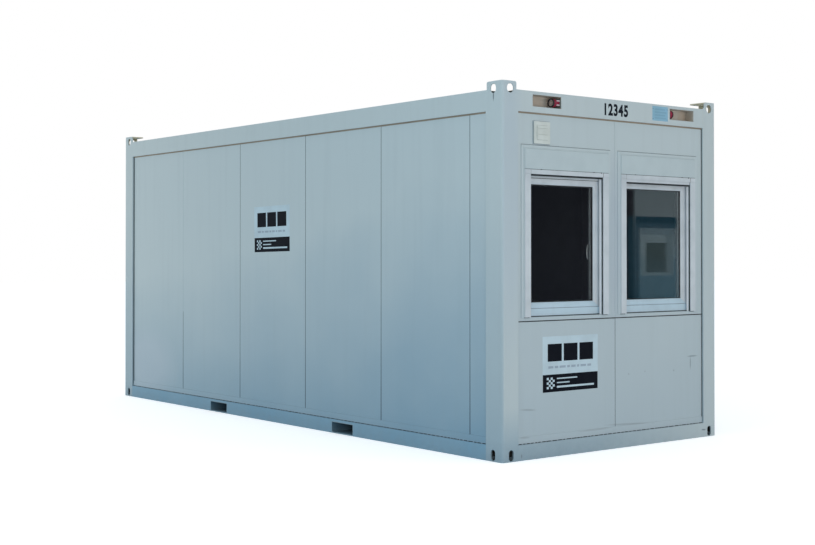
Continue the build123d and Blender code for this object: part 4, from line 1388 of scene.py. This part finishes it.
def seenRays(add):
    # camera and see-through rays show the white surroundings
    rays = add("LightPath", {}).outputs
    return add("Math", {"operation": "MAXIMUM", 0: rays["Is Camera Ray"], 1: rays["Is Transmission Ray"]})


def stagePlane(name, material, place):
    bm = bmesh.new()
    bmesh.ops.create_grid(bm, x_segments=1, y_segments=1, size=0.5, matrix=place)
    plane = newObject(name, newMesh(name, bm, [material]))
    return plane


def addFlag(order, name, low, high, foot, top):
    # a studio flag that glows in its own colours and that only the panes and the paint's sheen mirror: a painted
    # reflection
    material, add, place = newMaterial(name)
    wide, tall = high[0] - low[0], high[1] - low[1]
    z = add("SeparateXYZ", {0: place}).outputs["Z"]
    rise = add("MapRange", {0: z, 1: low[1] + 0.3 * tall, 2: low[1] + 0.55 * tall})
    tone = add("Mix", {"data_type": "RGBA", 0: rise, 6: foot, 7: top})
    add("OutputMaterial", {"Surface": add("Emission", {"Color": tone})})
    middle = (flagPlane - order * flagStep, (low[0] + high[0]) / 2, (low[1] + high[1]) / 2)
    turn = Matrix.Rotation(math.pi / 2, 4, "Y") @ Matrix.Diagonal((tall, wide, 1, 1))
    flag = stagePlane(name, material, Matrix.Translation(middle) @ turn)
    flag.visible_camera = flag.visible_diffuse = flag.visible_shadow = False


def addLamp(name, place, aim, size, power, tint, showsInGlass):
    data = bpy.data.lights.new(name, "AREA")
    data.shape = "DISK"
    data.size = size
    data.energy = power
    data.color = hexColour(tint)[:3]
    lamp = newObject(name, data)
    lamp.location = place
    lamp.rotation_euler = (Vector(aim) - Vector(place)).to_track_quat("-Z", "Y").to_euler()
    lamp.visible_glossy = False
    lamp.visible_transmission = showsInGlass


def buildStage():
    world = bpy.context.scene.world = bpy.data.worlds.new("studio")
    add = emptyTree(world)
    light = add("Background", {"Color": stageLook["skyTint"], "Strength": stageLook["skyStrength"]})
    white = add("Background", {"Color": "#FFFFFF", "Strength": 1.0})
    add("OutputWorld", {"Surface": add("MixShader", {0: seenRays(add), 1: light, 2: white})})

    # matte paper, a little blue to the light and nearly white to the camera
    material, add, place = newMaterial("floorPaper")
    seen = seenRays(add)
    paper = add("BsdfPrincipled", {
        "Roughness": 0.9, "Specular IOR Level": 0.0, "Emission Color": "#FFFFFF",
        "Emission Strength": add("Math", {"operation": "MULTIPLY", 0: seen, 1: stageLook["floorGlow"]}),
        "Base Color": add("Mix", {
            "data_type": "RGBA", 0: seen, 6: stageLook["floorBounce"], 7: stageLook["floorShown"],
        }),
    })
    add("OutputMaterial", {"Surface": paper})
    stagePlane("studioFloor", material, Matrix.Scale(stageLook["floorSize"], 4))
    for order, (name, settings) in enumerate(flags.items()):
        addFlag(order, name, *settings)
    for name, settings in lamps.items():
        addLamp(name, *settings)

    data = bpy.data.cameras.new("camera")
    data.lens = cameraLook["lens"]
    data.sensor_width = 36   # full frame, in mm
    data.shift_y = cameraLook["shiftUp"]
    camera = bpy.context.scene.camera = newObject("camera", data)
    camera.location = cameraLook["place"]
    camera.rotation_euler = (math.pi / 2 - cameraLook["tiltDown"], 0, cameraLook["turn"])
    bpy.context.scene.view_settings.view_transform = "Standard"
    print("stage ready")


buildStage()
